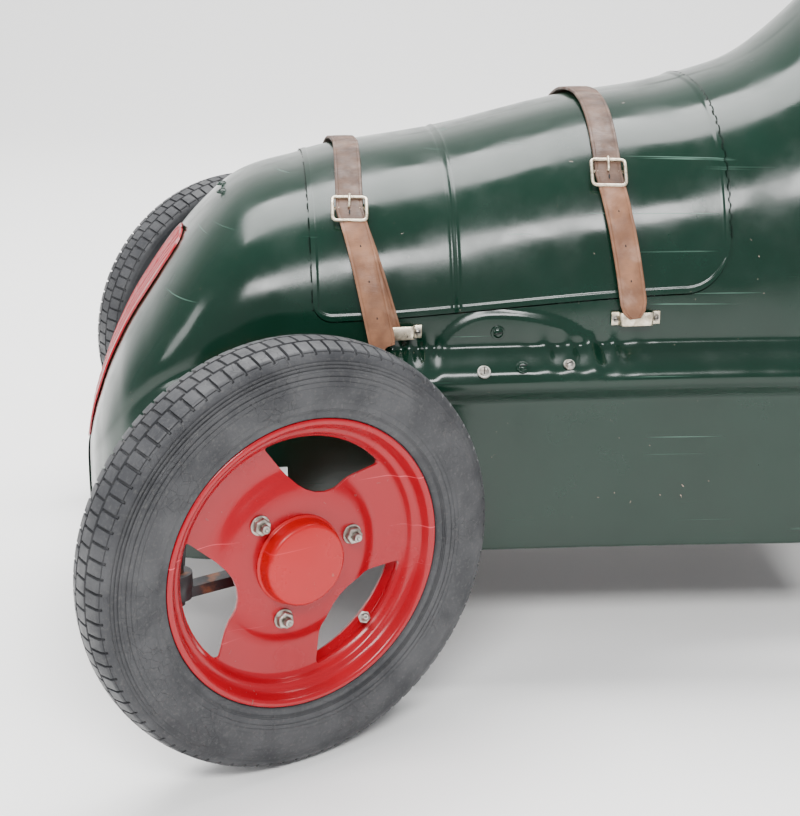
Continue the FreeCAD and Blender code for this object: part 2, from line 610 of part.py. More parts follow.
def section(index, offset):
    """Return one closed cross-section of the body, grown outward by an offset."""
    size = {field: station_size(index, field) for field in STATION_FIELDS}
    along = size["along"]
    if index < 4:
        along += offset * (4 - index) / 4
    if index > len(STATIONS) - 4:
        along -= offset * (index + 4 - len(STATIONS)) / 4
    sill = size["sill"] + offset
    floor = number("sill_height") - (30 if offset < 0 else 0)
    waist = size["waist"] + offset
    rise = size["crown"] - size["crease"] + offset
    upper = []
    for step in range(7):
        angle = math.radians(15 * step)
        upper.append((waist * math.cos(angle) ** (2 / size["square"]),
                      size["crease"] + rise * math.sin(angle) ** (2 / size["square"])))
    middle = (size["side"] + size["crease"]) / 2
    shoulder = [(sill, size["side"]), (sill + 0.8 * size["bulge"], middle - 6),
                (sill + size["bulge"] * 0.9, middle + 6), upper[0]]
    edges = []
    for sign in (1, -1):
        def curve(points):
            places = [Vector(along, sign * across, up) for across, up in points]
            spline = Part.BSplineCurve()
            spline.interpolate(places if sign > 0 else places[::-1])
            return spline.toShape()

        side = [Vector(along, sign * sill, floor), Vector(along, sign * sill, size["side"])]
        if sign < 0:
            side.reverse()
        run = [Part.makeLine(*side), curve(shoulder), curve(upper)]
        edges += run if sign > 0 else run[::-1]
    edges.append(Part.makeLine(Vector(along, -sill, floor), Vector(along, sill, floor)))
    return Part.Wire(Part.__sortEdges__(edges))


def hull(offset):
    """Loft the whole body through its stations as one solid, grown by an offset."""
    return Part.makeLoft([section(index, offset) for index in range(len(STATIONS))], True, False)


def side_prism(points, closed_curve=False):
    """Extrude a side-view outline right across the car."""
    places = [Vector(along, -400, up) for along, up in points]
    if closed_curve:
        spline = Part.BSplineCurve()
        spline.interpolate(places)
        wire = Part.Wire([spline.toShape(), Part.makeLine(places[-1], places[0])])
    else:
        wire = Part.makePolygon(places + places[:1])
    return Part.Face(wire).extrude(Vector(0, 800, 0))


def bonnet_prism(grow):
    """Return the side-view outline of the bonnet, grown by a gap, as a prism."""
    front = number("bonnet_front_x") + grow
    rear = number("bonnet_rear_x") - grow
    low_front = number("bonnet_front_z") - grow
    low_rear = number("bonnet_rear_z") - grow
    return side_prism([(front, 700), (front, low_front + 14), (front - 5, low_front + 3),
                       (front - 16, low_front), (rear + 34, low_rear), (rear + 20, low_rear + 6),
                       (rear + 11, low_rear + 20), (rear, low_rear + 60), (rear, 700)])


def cockpit_prism(grow):
    """Return the side-view outline of the cockpit opening, grown inward by a bead."""
    front = number("scuttle_rear_x") - grow
    rear = number("cockpit_rear_x") + grow
    side = number("cockpit_side_z") + grow
    return side_prism([(front + 6, 800), (front, 588), (front - 34, 480), (front - 82, 398),
                       (front - 150, side + 6), (-80, side), (rear + 90, side + 4), (rear + 30, side + 34),
                       (rear, side + 100), (rear - 4, 800)], True)


def box_between(low, high):
    """Return a box shape between two corners."""
    return Part.makeBox(high[0] - low[0], high[1] - low[1], high[2] - low[2], Vector(*low))


def grille_prism(grow):
    """Return the front-view outline of the grille as a prism along X."""
    half = number("grille_width") / 2 + grow
    places = [Vector(600, across, up) for across, up in (
        (0, 330 + grow), (half * 0.6, 326 + grow), (half, 300), (half * 0.94, 220),
        (half * 0.62, 160), (0, 146 - grow))]
    mirror = [Vector(place.x, -place.y, place.z) for place in places[-2:0:-1]]
    spline = Part.BSplineCurve()
    spline.interpolate(places + mirror, PeriodicFlag=True)
    return Part.Face(Part.Wire(spline.toShape())).extrude(Vector(260, 0, 0))


def body_pressings():
    """Split the pressed steel body into nose, bonnet, sides, scuttle and tail."""
    sheet_body = number("sheet_body")
    gap = number("panel_gap")
    shell = hull(0).cut(hull(-sheet_body))
    if shell.Volume > number("shell_litres_most") * 1e6:
        raise RuntimeError("the body shell was not hollowed out")
    front = number("bonnet_front_x")
    rear = number("bonnet_rear_x")
    tail = number("cockpit_rear_x")
    bonnet = bonnet_prism(0)
    opening = bonnet_prism(gap)
    cockpit = cockpit_prism(0)
    front_axle_at = number("front_axle_x")
    rear_axle_at = number("rear_axle_x")
    axle_gaps = [box_between((front_axle_at - 22, -300, number("axle_gap_low")),
                             (front_axle_at + 92, 300, number("axle_gap_high"))),
                 box_between((rear_axle_at - 18, -300, 0), (rear_axle_at + 18, 300, number("rear_gap_high")))]
    frame = shell.cut(Part.makeCompound([cockpit] + axle_gaps))
    nose_box = box_between((front, -300, 0), (900, 300, 700))
    tail_box = box_between((-900, -300, 0), (tail, 300, 700))
    scuttle_box = box_between((10, -300, number("bonnet_rear_z")), (front, 300, 700))
    holes = [Part.makeCylinder(SCREW_RADIUS + 0.1, 30, Vector(x, y, z - 15)) for x, y, z in NOSE_SCREWS]
    nose = frame.common(nose_box).cut(Part.makeCompound([grille_prism(1)] + holes))
    node(feature("nose_shape", nose), "nose_cowl")
    node(feature("tail_shape", frame.common(tail_box)), "tail_shell")
    node(feature("scuttle_shape", frame.common(scuttle_box).cut(opening)), "scuttle")
    for side, low, high in (("left", 0.5, 300), ("right", -300, -0.5)):
        panel_box = box_between((tail, low, 0), (front, high, 700))
        panel = frame.common(panel_box).cut(scuttle_box.fuse(opening))
        node(feature("side_shape_" + side, panel), "side_panel_" + side)
    node(feature("bonnet_shape", shell.common(bonnet)), "bonnet")
    bead = hull(2).cut(hull(-sheet_body - 2))
    node(feature("trim_shape", bead.common(cockpit.cut(cockpit_prism(5)))), "cockpit_trim")
    inside = hull(-1)
    skin = hull(3).cut(inside)
    ribs = [box_between((600, 16 * index - 3, 100), (900, 16 * index + 3, 316)) for index in range(-4, 5)]
    grille = skin.common(grille_prism(0))
    proud = grille.common(Part.makeCompound(ribs))
    base = hull(1).cut(inside).common(grille_prism(0))
    node(feature("grille_shape", base.fuse(proud)), "grille")
    node(feature("dash_shape", dashboard(hull(-sheet_body - 0.4))), "dashboard")


def dashboard(inside):
    """Return the dashboard plate: a slice of the body's inside with the column's hole."""
    plate = inside.common(box_between((150, -300, 372), (153, 300, 600)))
    axis = Vector(-math.cos(math.radians(number("column_slope"))), 0,
                  math.sin(math.radians(number("column_slope"))))
    start = Vector(*[number(text) for text in on_column("column_length - 140")])
    return plate.cut(Part.makeCylinder(14.6, 80, start, axis))


def instruments():
    """Make the row of dials on the dashboard, each a rim with a face."""
    pieces = []
    for place, radius in ((-62, 24), (62, 24), (0, 15)):
        height = 505 if place == 0 else 455
        pieces.append(bar("dial_%d" % (place + 100), ("138", str(place), str(height)), str(radius),
                          "12", "x"))
    node(group("instruments_group", pieces), "instruments")


STRAPS = ((566, 296), (366, 308))


def straps():
    """Make the two bonnet straps, their buckles and the loops on the body."""
    belts = []
    buckles = []
    loops = []
    half = number("strap_width") / 2
    belt = hull(3.2).cut(hull(0.3))
    band = hull(8).cut(hull(3.5))
    staple = hull(7).cut(hull(0.2))
    for along, drop in STRAPS:
        belts.append(belt.common(box_between((along - half, -300, drop + 6), (along + half, 300, 700))))
        for sign in (1, -1):
            low, high = ((20, 300) if sign > 0 else (-300, -20))
            piece = band.common(box_between((along - half - 4, low, 352), (along + half + 4, high, 376)))
            hole = box_between((along - half + 1, low, 356), (along + half - 1, high, 372))
            buckles.append(piece.cut(hole))
            loops.append(staple.common(
                box_between((along - half - 3, low, drop - 26), (along + half + 3, high, drop - 14))))
    node(feature("straps_shape", Part.makeCompound(belts)), "bonnet_straps")
    node(feature("buckles_shape", Part.makeCompound(buckles)), "strap_buckles")
    node(feature("loops_shape", Part.makeCompound(loops)), "footman_loops")


def screws():
    """Make the domed screws of the nose and of the side bosses."""
    pieces = []
    for index, spot in enumerate(NOSE_SCREWS):
        pieces.append(bar("nose_screw_%d" % index, [str(value) for value in spot], SCREW_RADIUS, "5"))
    for sign in (1, -1):
        for along, up in ((469, 277), (482, 250), (452, 252)):
            start = "163" if sign > 0 else "-163 - 14"
            pieces.append(bar("boss_screw_%d_%d" % (along, sign > 0), (str(along), start, str(up)),
                              SCREW_RADIUS, "14", "y"))
    node(group("screws_group", pieces), "body_screws")


# ---------------------------------------------------------------- build, check and write

def check_document():
    """Stop if any object failed or any sub-part has no valid solid."""
    for thing in doc.Objects:
        if "Invalid" in thing.State or "Error" in thing.State:
            raise RuntimeError("%s did not recompute: %s" % (thing.Name, thing.State))
    for thing in NODES:
        shape = thing.Shape
        if shape.isNull() or not shape.isValid() or not shape.Solids:
            raise RuntimeError("%s has no valid solid" % thing.Label)


def write_parts():
    """Write one STEP file for every sub-part."""
    os.makedirs("parts", exist_ok=True)
    for thing in NODES:
        thing.Shape.exportStep(os.path.join("parts", thing.Label + ".step"))
        box = thing.Shape.BoundBox
        print("%-24s solids %2d  x %7.1f %7.1f  y %7.1f %7.1f  z %7.1f %7.1f" % (
            thing.Label, len(thing.Shape.Solids), box.XMin, box.XMax, box.YMin, box.YMax,
            box.ZMin, box.ZMax))


fill_sheet()
all_wheels()
front_axle()
for side_name, side_sign in KINGPINS.items():
    stub_axle(side_name, side_sign)
track_rod()
steering_column()
steering_wheel()
column_bearings()
crank_axle()
axle_bearings()
pedals()
chassis()
cockpit_parts()
engine()
body_pressings()
instruments()
straps()
screws()
doc.recompute()
check_document()
write_parts()
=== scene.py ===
import math
import random

import bmesh
import bpy
import numpy as np
from mathutils import Matrix, Vector, noise


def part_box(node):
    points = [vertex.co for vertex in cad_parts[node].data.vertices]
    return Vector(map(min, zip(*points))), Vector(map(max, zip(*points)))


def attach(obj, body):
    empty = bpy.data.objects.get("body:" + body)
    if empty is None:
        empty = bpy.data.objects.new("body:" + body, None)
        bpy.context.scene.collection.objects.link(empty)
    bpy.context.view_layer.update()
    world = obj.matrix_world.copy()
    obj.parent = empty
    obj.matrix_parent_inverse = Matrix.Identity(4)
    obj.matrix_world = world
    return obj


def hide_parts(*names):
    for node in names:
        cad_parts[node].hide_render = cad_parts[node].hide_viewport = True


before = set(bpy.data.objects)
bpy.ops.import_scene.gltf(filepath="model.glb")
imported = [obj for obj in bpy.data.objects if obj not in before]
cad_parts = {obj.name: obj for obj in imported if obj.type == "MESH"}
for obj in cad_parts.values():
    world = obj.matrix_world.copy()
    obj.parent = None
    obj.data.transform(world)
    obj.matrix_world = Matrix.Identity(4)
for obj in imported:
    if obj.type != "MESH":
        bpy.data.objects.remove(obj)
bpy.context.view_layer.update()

MM = 0.001
random.seed(7)

# ---------------------------------------------------------------- sizes, in millimetres

FRONT_AXLE_X = 650
REAR_AXLE_X = -400
WHEEL_RADIUS = 158.75
KINGPIN_Y = 263.3
SPINDLE = 30
REAR_WHEEL_Y = 290
STEER = math.radians(27)
SILL = 97
FOLD = 3.2  # height of the rolled lower edge above the sill
SHEET = 1.3
TAIL_TIP = -810
NOSE_TIP = 800
ABOVE_CROWN = 9999  # a height past any crown, so that a section runs all the way up
BONNET_FRONT = 611
BONNET_REAR = 289
COWL_EDGE = 130
TAIL_EDGE = -335
COCKPIT_SIDE = 352
COWL_SWEEP = 158  # length of the cockpit side that climbs to the cowl
TAIL_SWEEP = 105  # length of the cockpit side that climbs to the tail
SEAM = 0.4  # gap between the nose and the bonnet

# The boss pressed into each side: place along and height of its centre, then the height, centre,
# reach and pitch of each group of ripples.
BOSS = (472, 250)
BOSS_RIPPLES = ((2.4, 392, 26.0, 0.34), (2.0, 534, 20.0, 0.46), (1.4, 428, 18.0, 0.28))

# Stations of the body from tail to nose, as in the CAD model: place along X, half width at the
# sill, top of the flat side, shoulder bulge, height and half width of the crease, height of the
# crown, squareness of the upper curve.
STATIONS = np.array([
    (TAIL_TIP, 22, 134, 0, 148, 19, 166, 2.0), (-782, 52, 163, 1, 186, 48, 232, 2.0),
    (-735, 86, 187, 2, 217, 80, 290, 2.0), (-660, 117, 203, 4, 238, 110, 345, 2.0),
    (-560, 144, 213, 6, 252, 136, 392, 2.1), (-450, 164, 219, 9, 261, 155, 425, 2.2),
    (-335, 176, 222, 12, 266, 166, 446, 2.3), (-250, 180, 223, 14, 268, 170, 470, 2.4),
    (-100, 183, 224, 16, 269, 173, 540, 2.4), (40, 183, 224, 17, 269, 173, 590, 2.3),
    (130, 182, 224, 17, 269, 172, 578, 2.25), (175, 181, 224, 17, 269, 171, 520, 2.3),
    (225, 179, 224, 17, 269, 168, 474, 2.4), (289, 175, 224, 17, 269, 164, 449, 2.45),
    (390, 170, 223, 17, 268, 158, 432, 2.4), (500, 166, 222, 17, 267, 153, 407, 2.35),
    (611, 166, 222, 16, 265, 152, 388, 2.3), (676, 165, 220, 12, 260, 151, 364, 2.3),
    (708, 160, 213, 7, 252, 148, 333, 2.3), (738, 147, 200, 3, 234, 138, 294, 2.2),
    (764, 126, 178, 1, 206, 119, 253, 2.1), (782, 98, 152, 0, 176, 92, 214, 2.0),
    (794, 62, 130, 0, 150, 56, 176, 2.0), (NOSE_TIP, 26, 116, 0, 132, 22, 146, 2.0),
], dtype=float)


def spline_slopes(xs, ys):
    """Slopes of a shape-keeping cubic through the stations, one column at a time."""
    steps = np.diff(xs)[:, None]
    chords = np.diff(ys, axis=0) / steps
    slopes = np.zeros_like(ys)
    slopes[0] = chords[0]
    slopes[-1] = chords[-1]
    before = steps[:-1]
    after = steps[1:]
    slopes[1:-1] = (chords[:-1] * after + chords[1:] * before) / (before + after)
    return slopes


SLOPES = spline_slopes(STATIONS[:, 0], STATIONS[:, 1:])


def station(along):
    """Interpolate every section size at one place along the car."""
    xs = STATIONS[:, 0]
    along = min(max(along, xs[0]), xs[-1])
    right = min(max(int(np.searchsorted(xs, along)), 1), len(xs) - 1)
    left = right - 1
    step = xs[right] - xs[left]
    share = (along - xs[left]) / step
    low = STATIONS[left, 1:]
    high = STATIONS[right, 1:]
    return ((1 + 2 * share) * (1 - share) ** 2 * low + share * (1 - share) ** 2 * step * SLOPES[left]
            + share ** 2 * (3 - 2 * share) * high + share ** 2 * (share - 1) * step * SLOPES[right])


def smooth(value):
    """Ease a share from 0 to 1 with flat ends."""
    value = np.clip(value, 0.0, 1.0)
    return value * value * (3 - 2 * value)


def half_section(along):
    """Return the half section as dense points (y, z) from the sill up to the crown."""
    sill, side, bulge, crease, waist, crown, square = station(along)
    bulge = max(bulge, 0)
    lower = [(sill, SILL + (side - SILL) * share) for share in np.linspace(0, 1, 24)[:-1]]
    middle = []
    for share in np.linspace(0, 1, 40)[:-1]:
        swell = (0.5 - 0.5 * math.cos(2 * math.pi * share)) ** 0.75
        middle.append((sill + (waist - sill) * smooth(share) + bulge * swell, side + (crease - side) * share))
    upper = []
    for share in np.linspace(0, 1, 90):
        angle = share * math.pi / 2
        upper.append((waist * max(math.cos(angle), 0) ** (2 / square),
                      crease + (crown - crease) * math.sin(angle) ** (2 / square)))
    return np.array(lower + middle + upper)


def arc_lengths(points):
    """Distance of each point of a line from its first one, measured along the line."""
    return np.concatenate([[0], np.cumsum(np.linalg.norm(np.diff(points, axis=0), axis=1))])


def points_at(places, points, arc):
    """Points of a line at the given distances along it."""
    return np.stack([np.interp(places, arc, points[:, 0]), np.interp(places, arc, points[:, 1])], axis=-1)


def run_between(along, low, high, count):
    """Points of the half section between two heights, evenly spaced along the sheet."""
    points = half_section(along)
    arc = arc_lengths(points)
    first, last = np.interp((low, high), points[:, 1], arc)
    return points_at(np.linspace(first, last, count), points, arc)


def boss_press(along, height):
    """Height in millimetres of the pressed boss, its ripples and small dents at a place on the side."""
    reach = 50 if along > BOSS[0] else 92
    shape = ((along - BOSS[0]) / reach) ** 2 + ((height - BOSS[1]) / 46) ** 2
    pad = smooth((1.0 - shape) * 3.2) * 2.6 * smooth((height - 244) / 10)
    band = math.exp(-((height - 262) / 9.0) ** 2)
    ripple = 0.0
    for size, centre, reach, pitch in BOSS_RIPPLES:
        wave = math.exp(-((along - centre) / reach) ** 2) * math.sin((along - centre) * pitch)
        ripple += size * wave
    return pad + band * ripple


def skin_press(along, height, sign):
    """All small departures of the sheet from its smooth shape, in millimetres."""
    wave = noise.noise(Vector((along * 0.012, height * 0.02, sign * 3.1))) * 0.7
    wave += noise.noise(Vector((along * 0.04, height * 0.05, sign * 7.7))) * 0.16
    return wave + boss_press(along, height)


def grid_normals(points):
    """Smooth normals of a grid of points, from its own slopes."""
    normals = np.cross(np.gradient(points, axis=0, edge_order=2), np.gradient(points, axis=1, edge_order=2))
    return normals / np.maximum(np.linalg.norm(normals, axis=2, keepdims=True), 1e-12)


def sheet_mesh(name, patches, mat, body, nodes, slot, thickness=SHEET):
    """Join grid patches into one sheet-metal piece with an inner face and closed edges."""
    verts = []
    norms = []
    faces = []
    for points in patches:
        points = np.asarray(points) * MM
        normals = grid_normals(points)
        columns, rows, _ = points.shape
        middle = points[columns // 2, rows // 2]
        outward = middle - np.array([middle[0], 0, 0.2])
        turn = np.dot(normals[columns // 2, rows // 2], outward) < 0
        if turn:
            normals = -normals
        base = len(verts)
        count = columns * rows
        verts += list(points.reshape(-1, 3))
        norms += list(normals.reshape(-1, 3))
        inner = points - normals * thickness * MM
        verts += list(inner.reshape(-1, 3))
        norms += list(-normals.reshape(-1, 3))
        for column in range(columns - 1):
            for row in range(rows - 1):
                a = base + column * rows + row
                quad = [a, a + rows, a + rows + 1, a + 1]
                if turn:
                    quad.reverse()
                faces.append(quad)
                faces.append([count + index for index in reversed(quad)])
        border = [column * rows for column in range(columns)]
        border += [(columns - 1) * rows + row for row in range(1, rows)]
        border += [column * rows + rows - 1 for column in range(columns - 2, -1, -1)]
        border += [row for row in range(rows - 2, 0, -1)]
        for first, second in zip(border, border[1:] + border[:1]):
            a = base + first
            b = base + second
            quad = [b, a, a + count, b + count]
            if turn:
                quad.reverse()
            faces.append(quad)
    mesh = bpy.data.meshes.new(name)
    mesh.from_pydata([tuple(v) for v in verts], [], faces)
    mesh.update()
    piece = link(name, mesh, mat)
    shade_smooth(mesh)
    mesh.normals_split_custom_set_from_vertices([tuple(n) for n in norms])
    return finish_piece(piece, body, slot, *nodes)


def link(name, mesh, mat):
    """Put a mesh into the scene as an object with one material, or with none."""
    piece = bpy.data.objects.new(name, mesh)
    bpy.context.scene.collection.objects.link(piece)
    if mat is not None:
        mesh.materials.append(mat)
    return piece


def shade_smooth(mesh):
    """Shade every face of a mesh smoothly."""
    mesh.polygons.foreach_set("use_smooth", [True] * len(mesh.polygons))
    return mesh


def finish_piece(piece, body, slot, *nodes):
    """Attach a piece to the body it rides on and hide the CAD nodes it stands for; the finish slot is not
    used.
    """
    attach(piece, body)
    if nodes:
        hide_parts(*nodes)
    return piece


# ---------------------------------------------------------------- materials

class Shader:
    """A procedural material under construction, with short calls for the nodes it needs."""

    def __init__(self, name, colour, roughness, metallic=0.0, **sockets):
        self.mat = bpy.data.materials.new(name)
        self.mat.use_nodes = True
        self.tree = self.mat.node_tree
        self.bsdf = self.tree.nodes["Principled BSDF"]
        self.bsdf.inputs["Base Color"].default_value = (*colour, 1)
        self.bsdf.inputs["Roughness"].default_value = roughness
        self.bsdf.inputs["Metallic"].default_value = metallic
        for key, value in sockets.items():
            self.bsdf.inputs[key.replace("_", " ")].default_value = value
        self.place = self.tree.nodes.new("ShaderNodeTexCoord").outputs["Object"]

    def stretch(self, scale, turn=(0, 0, 0)):
        """Object coordinates, turned and stretched."""
        node = self.tree.nodes.new("ShaderNodeMapping")
        node.inputs["Scale"].default_value = scale
        node.inputs["Rotation"].default_value = turn
        self.tree.links.new(self.place, node.inputs["Vector"])
        return node.outputs["Vector"]

    def noise(self, scale, detail=3.0, place=None, roughness=0.55, distortion=0.0):
        """A noise value."""
        node = self.tree.nodes.new("ShaderNodeTexNoise")
        node.inputs["Scale"].default_value = scale
        node.inputs["Detail"].default_value = detail
        node.inputs["Roughness"].default_value = roughness
        node.inputs["Distortion"].default_value = distortion
        self.tree.links.new(place or self.place, node.inputs["Vector"])
        return node.outputs["Fac"]

    def cells(self, scale, place=None, feature="F1"):
        """A distance value of cells, or of the edges between them."""
        node = self.tree.nodes.new("ShaderNodeTexVoronoi")
        node.feature = feature
        node.inputs["Scale"].default_value = scale
        self.tree.links.new(place or self.place, node.inputs["Vector"])
        return node.outputs["Distance"]

    def step(self, value, low, high, out_low=0.0, out_high=1.0):
        """Map a value from one range to another, clamped and eased."""
        node = self.tree.nodes.new("ShaderNodeMapRange")
        node.interpolation_type = "SMOOTHSTEP"
        for key, number in zip(("From Min", "From Max", "To Min", "To Max"), (low, high, out_low, out_high)):
            node.inputs[key].default_value = number
        self.tree.links.new(value, node.inputs["Value"])
        return node.outputs["Result"]

    def calc(self, operation, first, second):
        """A sum, product or other operation of two values."""
        node = self.tree.nodes.new("ShaderNodeMath")
        node.operation = operation
        for socket, value in zip(node.inputs, (first, second)):
            if isinstance(value, (int, float)):
                socket.default_value = value
            else:
                self.tree.links.new(value, socket)
        return node.outputs["Value"]

    def blend(self, factor, first, second):
        """Mix two colours by a factor."""
        node = self.tree.nodes.new("ShaderNodeMix")
        node.data_type = "RGBA"
        self.tree.links.new(factor, node.inputs["Factor"])
        for socket, value in zip((node.inputs[6], node.inputs[7]), (first, second)):
            if isinstance(value, tuple):
                socket.default_value = (*value, 1)
            else:
                self.tree.links.new(value, socket)
        return node.outputs[2]

    def colour(self, value):
        """Drive the base colour."""
        self.tree.links.new(value, self.bsdf.inputs["Base Color"])

    def rough(self, value):
        """Drive the roughness."""
        self.tree.links.new(value, self.bsdf.inputs["Roughness"])

    def metal(self, value):
        """Drive the metallic share."""
        self.tree.links.new(value, self.bsdf.inputs["Metallic"])

    def bump(self, value, strength, distance):
        """Add a bump on top of any bump already there."""
        node = self.tree.nodes.new("ShaderNodeBump")
        node.inputs["Strength"].default_value = strength
        node.inputs["Distance"].default_value = distance
        self.tree.links.new(value, node.inputs["Height"])
        socket = self.bsdf.inputs["Normal"]
        if socket.links:
            self.tree.links.new(socket.links[0].from_socket, node.inputs["Normal"])
        self.tree.links.new(node.outputs["Normal"], socket)


def scratches(shader, seed):
    """A mask of thin straight scuffs in three directions."""
    total = None
    for index, (turn, thin) in enumerate(((0.35, 260), (-0.6, 340), (1.25, 300))):
        place = shader.stretch((3.0, 3.0, thin), (0, turn + seed, 0.3 * index))
        streak = shader.noise(1.0, 1.0, place)
        patch = shader.step(shader.noise(9.0 + index, 2.0), 0.52, 0.66)
        mask = shader.calc("MULTIPLY", shader.step(streak, 0.71, 0.76), patch)
        total = mask if total is None else shader.calc("MAXIMUM", total, mask)
    return total


def enamel(name, colour, pale, bare, chip_level=0.72, seed=0.0, rough=0.17):
    """Old glossy enamel: mottled colour, dust, scuffs, and chips down to primer."""
    shader = Shader(name, colour, rough, Coat_Weight=0.06, Coat_Roughness=0.05, Specular_IOR_Level=0.36)
    mottle = shader.step(shader.noise(14.0, 5.0), 0.35, 0.7)
    dusty = shader.step(shader.noise(42.0, 6.0), 0.55, 0.8)
    base = shader.blend(shader.calc("MULTIPLY", mottle, 0.30), colour, pale)
    base = shader.blend(shader.calc("MULTIPLY", dusty, 0.22), base, pale)
    scuff = scratches(shader, seed)
    base = shader.blend(shader.calc("MULTIPLY", scuff, 0.5), base, tuple(min(1, c * 5 + 0.10) for c in pale))
    cluster = shader.step(shader.noise(16.0, 3.0), 0.50, 0.68)
    spot = shader.noise(230.0, 2.0, distortion=0.6)
    chips = shader.calc("MULTIPLY", shader.step(spot, chip_level, chip_level + 0.02), cluster)
    base = shader.blend(chips, base, bare)
    shader.colour(base)
    worn = shader.calc("MAXIMUM", shader.calc("MULTIPLY", scuff, 0.4), chips)
    uneven = shader.step(shader.noise(26.0, 6.0), 0.3, 0.75, rough, rough + 0.16)
    shader.rough(shader.calc("ADD", uneven, shader.calc("MULTIPLY", worn, 0.4)))
    shader.bump(shader.noise(260.0, 3.0), 0.05, 0.0004)
    shader.bump(shader.calc("SUBTRACT", 1.0, chips), 0.5, 0.00025)
    return shader.mat


def plated(name, colour, dark, rough=0.3, scale=120.0):
    """Dull plated steel or brass with tarnish and fine pitting."""
    shader = Shader(name, colour, rough, 1.0)
    tarnish = shader.step(shader.noise(scale, 5.0), 0.38, 0.68)
    pits = shader.step(shader.noise(scale * 6, 2.0), 0.62, 0.72)
    base = shader.blend(shader.calc("MULTIPLY", tarnish, 0.7), colour, dark)
    shader.colour(shader.blend(shader.calc("MULTIPLY", pits, 0.6), base, dark))
    shader.rough(shader.step(shader.noise(scale * 1.7, 4.0), 0.3, 0.7, rough, rough + 0.28))
    shader.metal(shader.step(pits, 0.0, 1.0, 1.0, 0.55))
    shader.bump(shader.noise(scale * 5, 3.0), 0.25, 0.0002)
    return shader.mat


def rubber_material():
    """Weathered tyre rubber: grey bloom, dusty recesses and fine crazing."""
    shader = Shader("tyre_rubber_aged", (0.055, 0.056, 0.060), 0.55, Specular_IOR_Level=0.35)
    bloom = shader.step(shader.noise(24.0, 6.0), 0.32, 0.72)
    base = shader.blend(bloom, (0.026, 0.027, 0.030), (0.056, 0.057, 0.060))
    fine = shader.step(shader.noise(420.0, 3.0), 0.5, 0.75)
    base = shader.blend(shader.calc("MULTIPLY", fine, 0.35), base, (0.10, 0.098, 0.092))
    crack = shader.cells(150.0, shader.stretch((1.0, 1.0, 1.0), (0.4, 0.0, 0.7)), "DISTANCE_TO_EDGE")
    crack = shader.calc("MULTIPLY", shader.step(crack, 0.0, 0.03, 1.0, 0.0),
                        shader.step(shader.noise(21.0, 3.0), 0.46, 0.62))
    shader.colour(shader.blend(shader.calc("MULTIPLY", crack, 0.45), base, (0.012, 0.012, 0.013)))
    shader.rough(shader.step(shader.noise(60.0, 4.0), 0.3, 0.7, 0.42, 0.68))
    shader.bump(shader.calc("SUBTRACT", 1.0, crack), 0.5, 0.0004)
    shader.bump(shader.noise(700.0, 2.0), 0.18, 0.0003)
    return shader.mat


def leather_material(name, colour, dark, pale, grain=420.0, rough=0.55):
    """Harness leather: grain, greasy dark patches, cross creases and pale worn areas."""
    shader = Shader(name, colour, rough, Specular_IOR_Level=0.4)
    tone = shader.step(shader.noise(55.0, 5.0), 0.3, 0.7)
    base = shader.blend(tone, dark, colour)
    worn = shader.step(shader.noise(38.0, 4.0, distortion=0.5), 0.5, 0.78)
    base = shader.blend(shader.calc("MULTIPLY", worn, 0.65), base, pale)
    fibre = shader.noise(1.0, 3.0, shader.stretch((150, 150, 1500)))
    base = shader.blend(shader.calc("MULTIPLY", shader.step(fibre, 0.55, 0.8), 0.35), base, dark)
    pores = shader.cells(grain * 4, feature="F1")
    shader.colour(base)
    shader.rough(shader.step(shader.noise(90.0, 3.0), 0.3, 0.7, rough - 0.12, rough + 0.18))
    shader.bump(fibre, 0.45, 0.0005)
    shader.bump(pores, 0.25, 0.00025)
    shader.bump(shader.noise(grain, 4.0), 0.3, 0.0004)
    return shader.mat


def satin_black():
    """Brush-painted black on the chassis, with rust freckles and dust on top."""
    shader = Shader("chassis_black_worn", (0.018, 0.018, 0.02), 0.45)
    rust = shader.step(shader.noise(60.0, 6.0), 0.56, 0.68)
    dust = shader.step(shader.noise(18.0, 4.0), 0.45, 0.75)
    base = shader.blend(shader.calc("MULTIPLY", dust, 0.5), (0.018, 0.018, 0.02), (0.07, 0.066, 0.058))
    shader.colour(shader.blend(shader.calc("MULTIPLY", rust, 0.8), base, (0.16, 0.06, 0.025)))
    shader.rough(shader.step(shader.noise(90.0, 4.0), 0.3, 0.7, 0.35, 0.75))
    shader.bump(shader.noise(180.0, 4.0), 0.3, 0.0006)
    return shader.mat


GREEN = enamel("body_green_enamel", (0.0016, 0.0165, 0.0085), (0.004, 0.027, 0.016), (0.42, 0.30, 0.24),
               0.735, 0.0, 0.12)
RED = enamel("wheel_red_enamel", (0.30, 0.0, 0.006), (0.33, 0.0005, 0.010), (0.10, 0.065, 0.05),
             0.70, 0.8, 0.16)
GRILLE_RED = enamel("grille_red_enamel", (0.30, 0.0, 0.006), (0.33, 0.0008, 0.010), (0.12, 0.08, 0.07),
                    0.71, 1.7, 0.2)
CAP_RED = enamel("cap_red_enamel", (0.40, 0.0, 0.003), (0.46, 0.004, 0.010), (0.30, 0.16, 0.12),
                 0.66, 2.4, 0.24)
RUBBER = rubber_material()
NICKEL = plated("buckle_nickel_worn", (0.74, 0.66, 0.52), (0.40, 0.32, 0.22), 0.26, 260.0)
STEEL = plated("plated_steel_dull", (0.46, 0.44, 0.40), (0.15, 0.12, 0.09), 0.34, 200.0)
CHROME = plated("dial_chrome_aged", (0.72, 0.72, 0.70), (0.38, 0.36, 0.32), 0.12, 160.0)
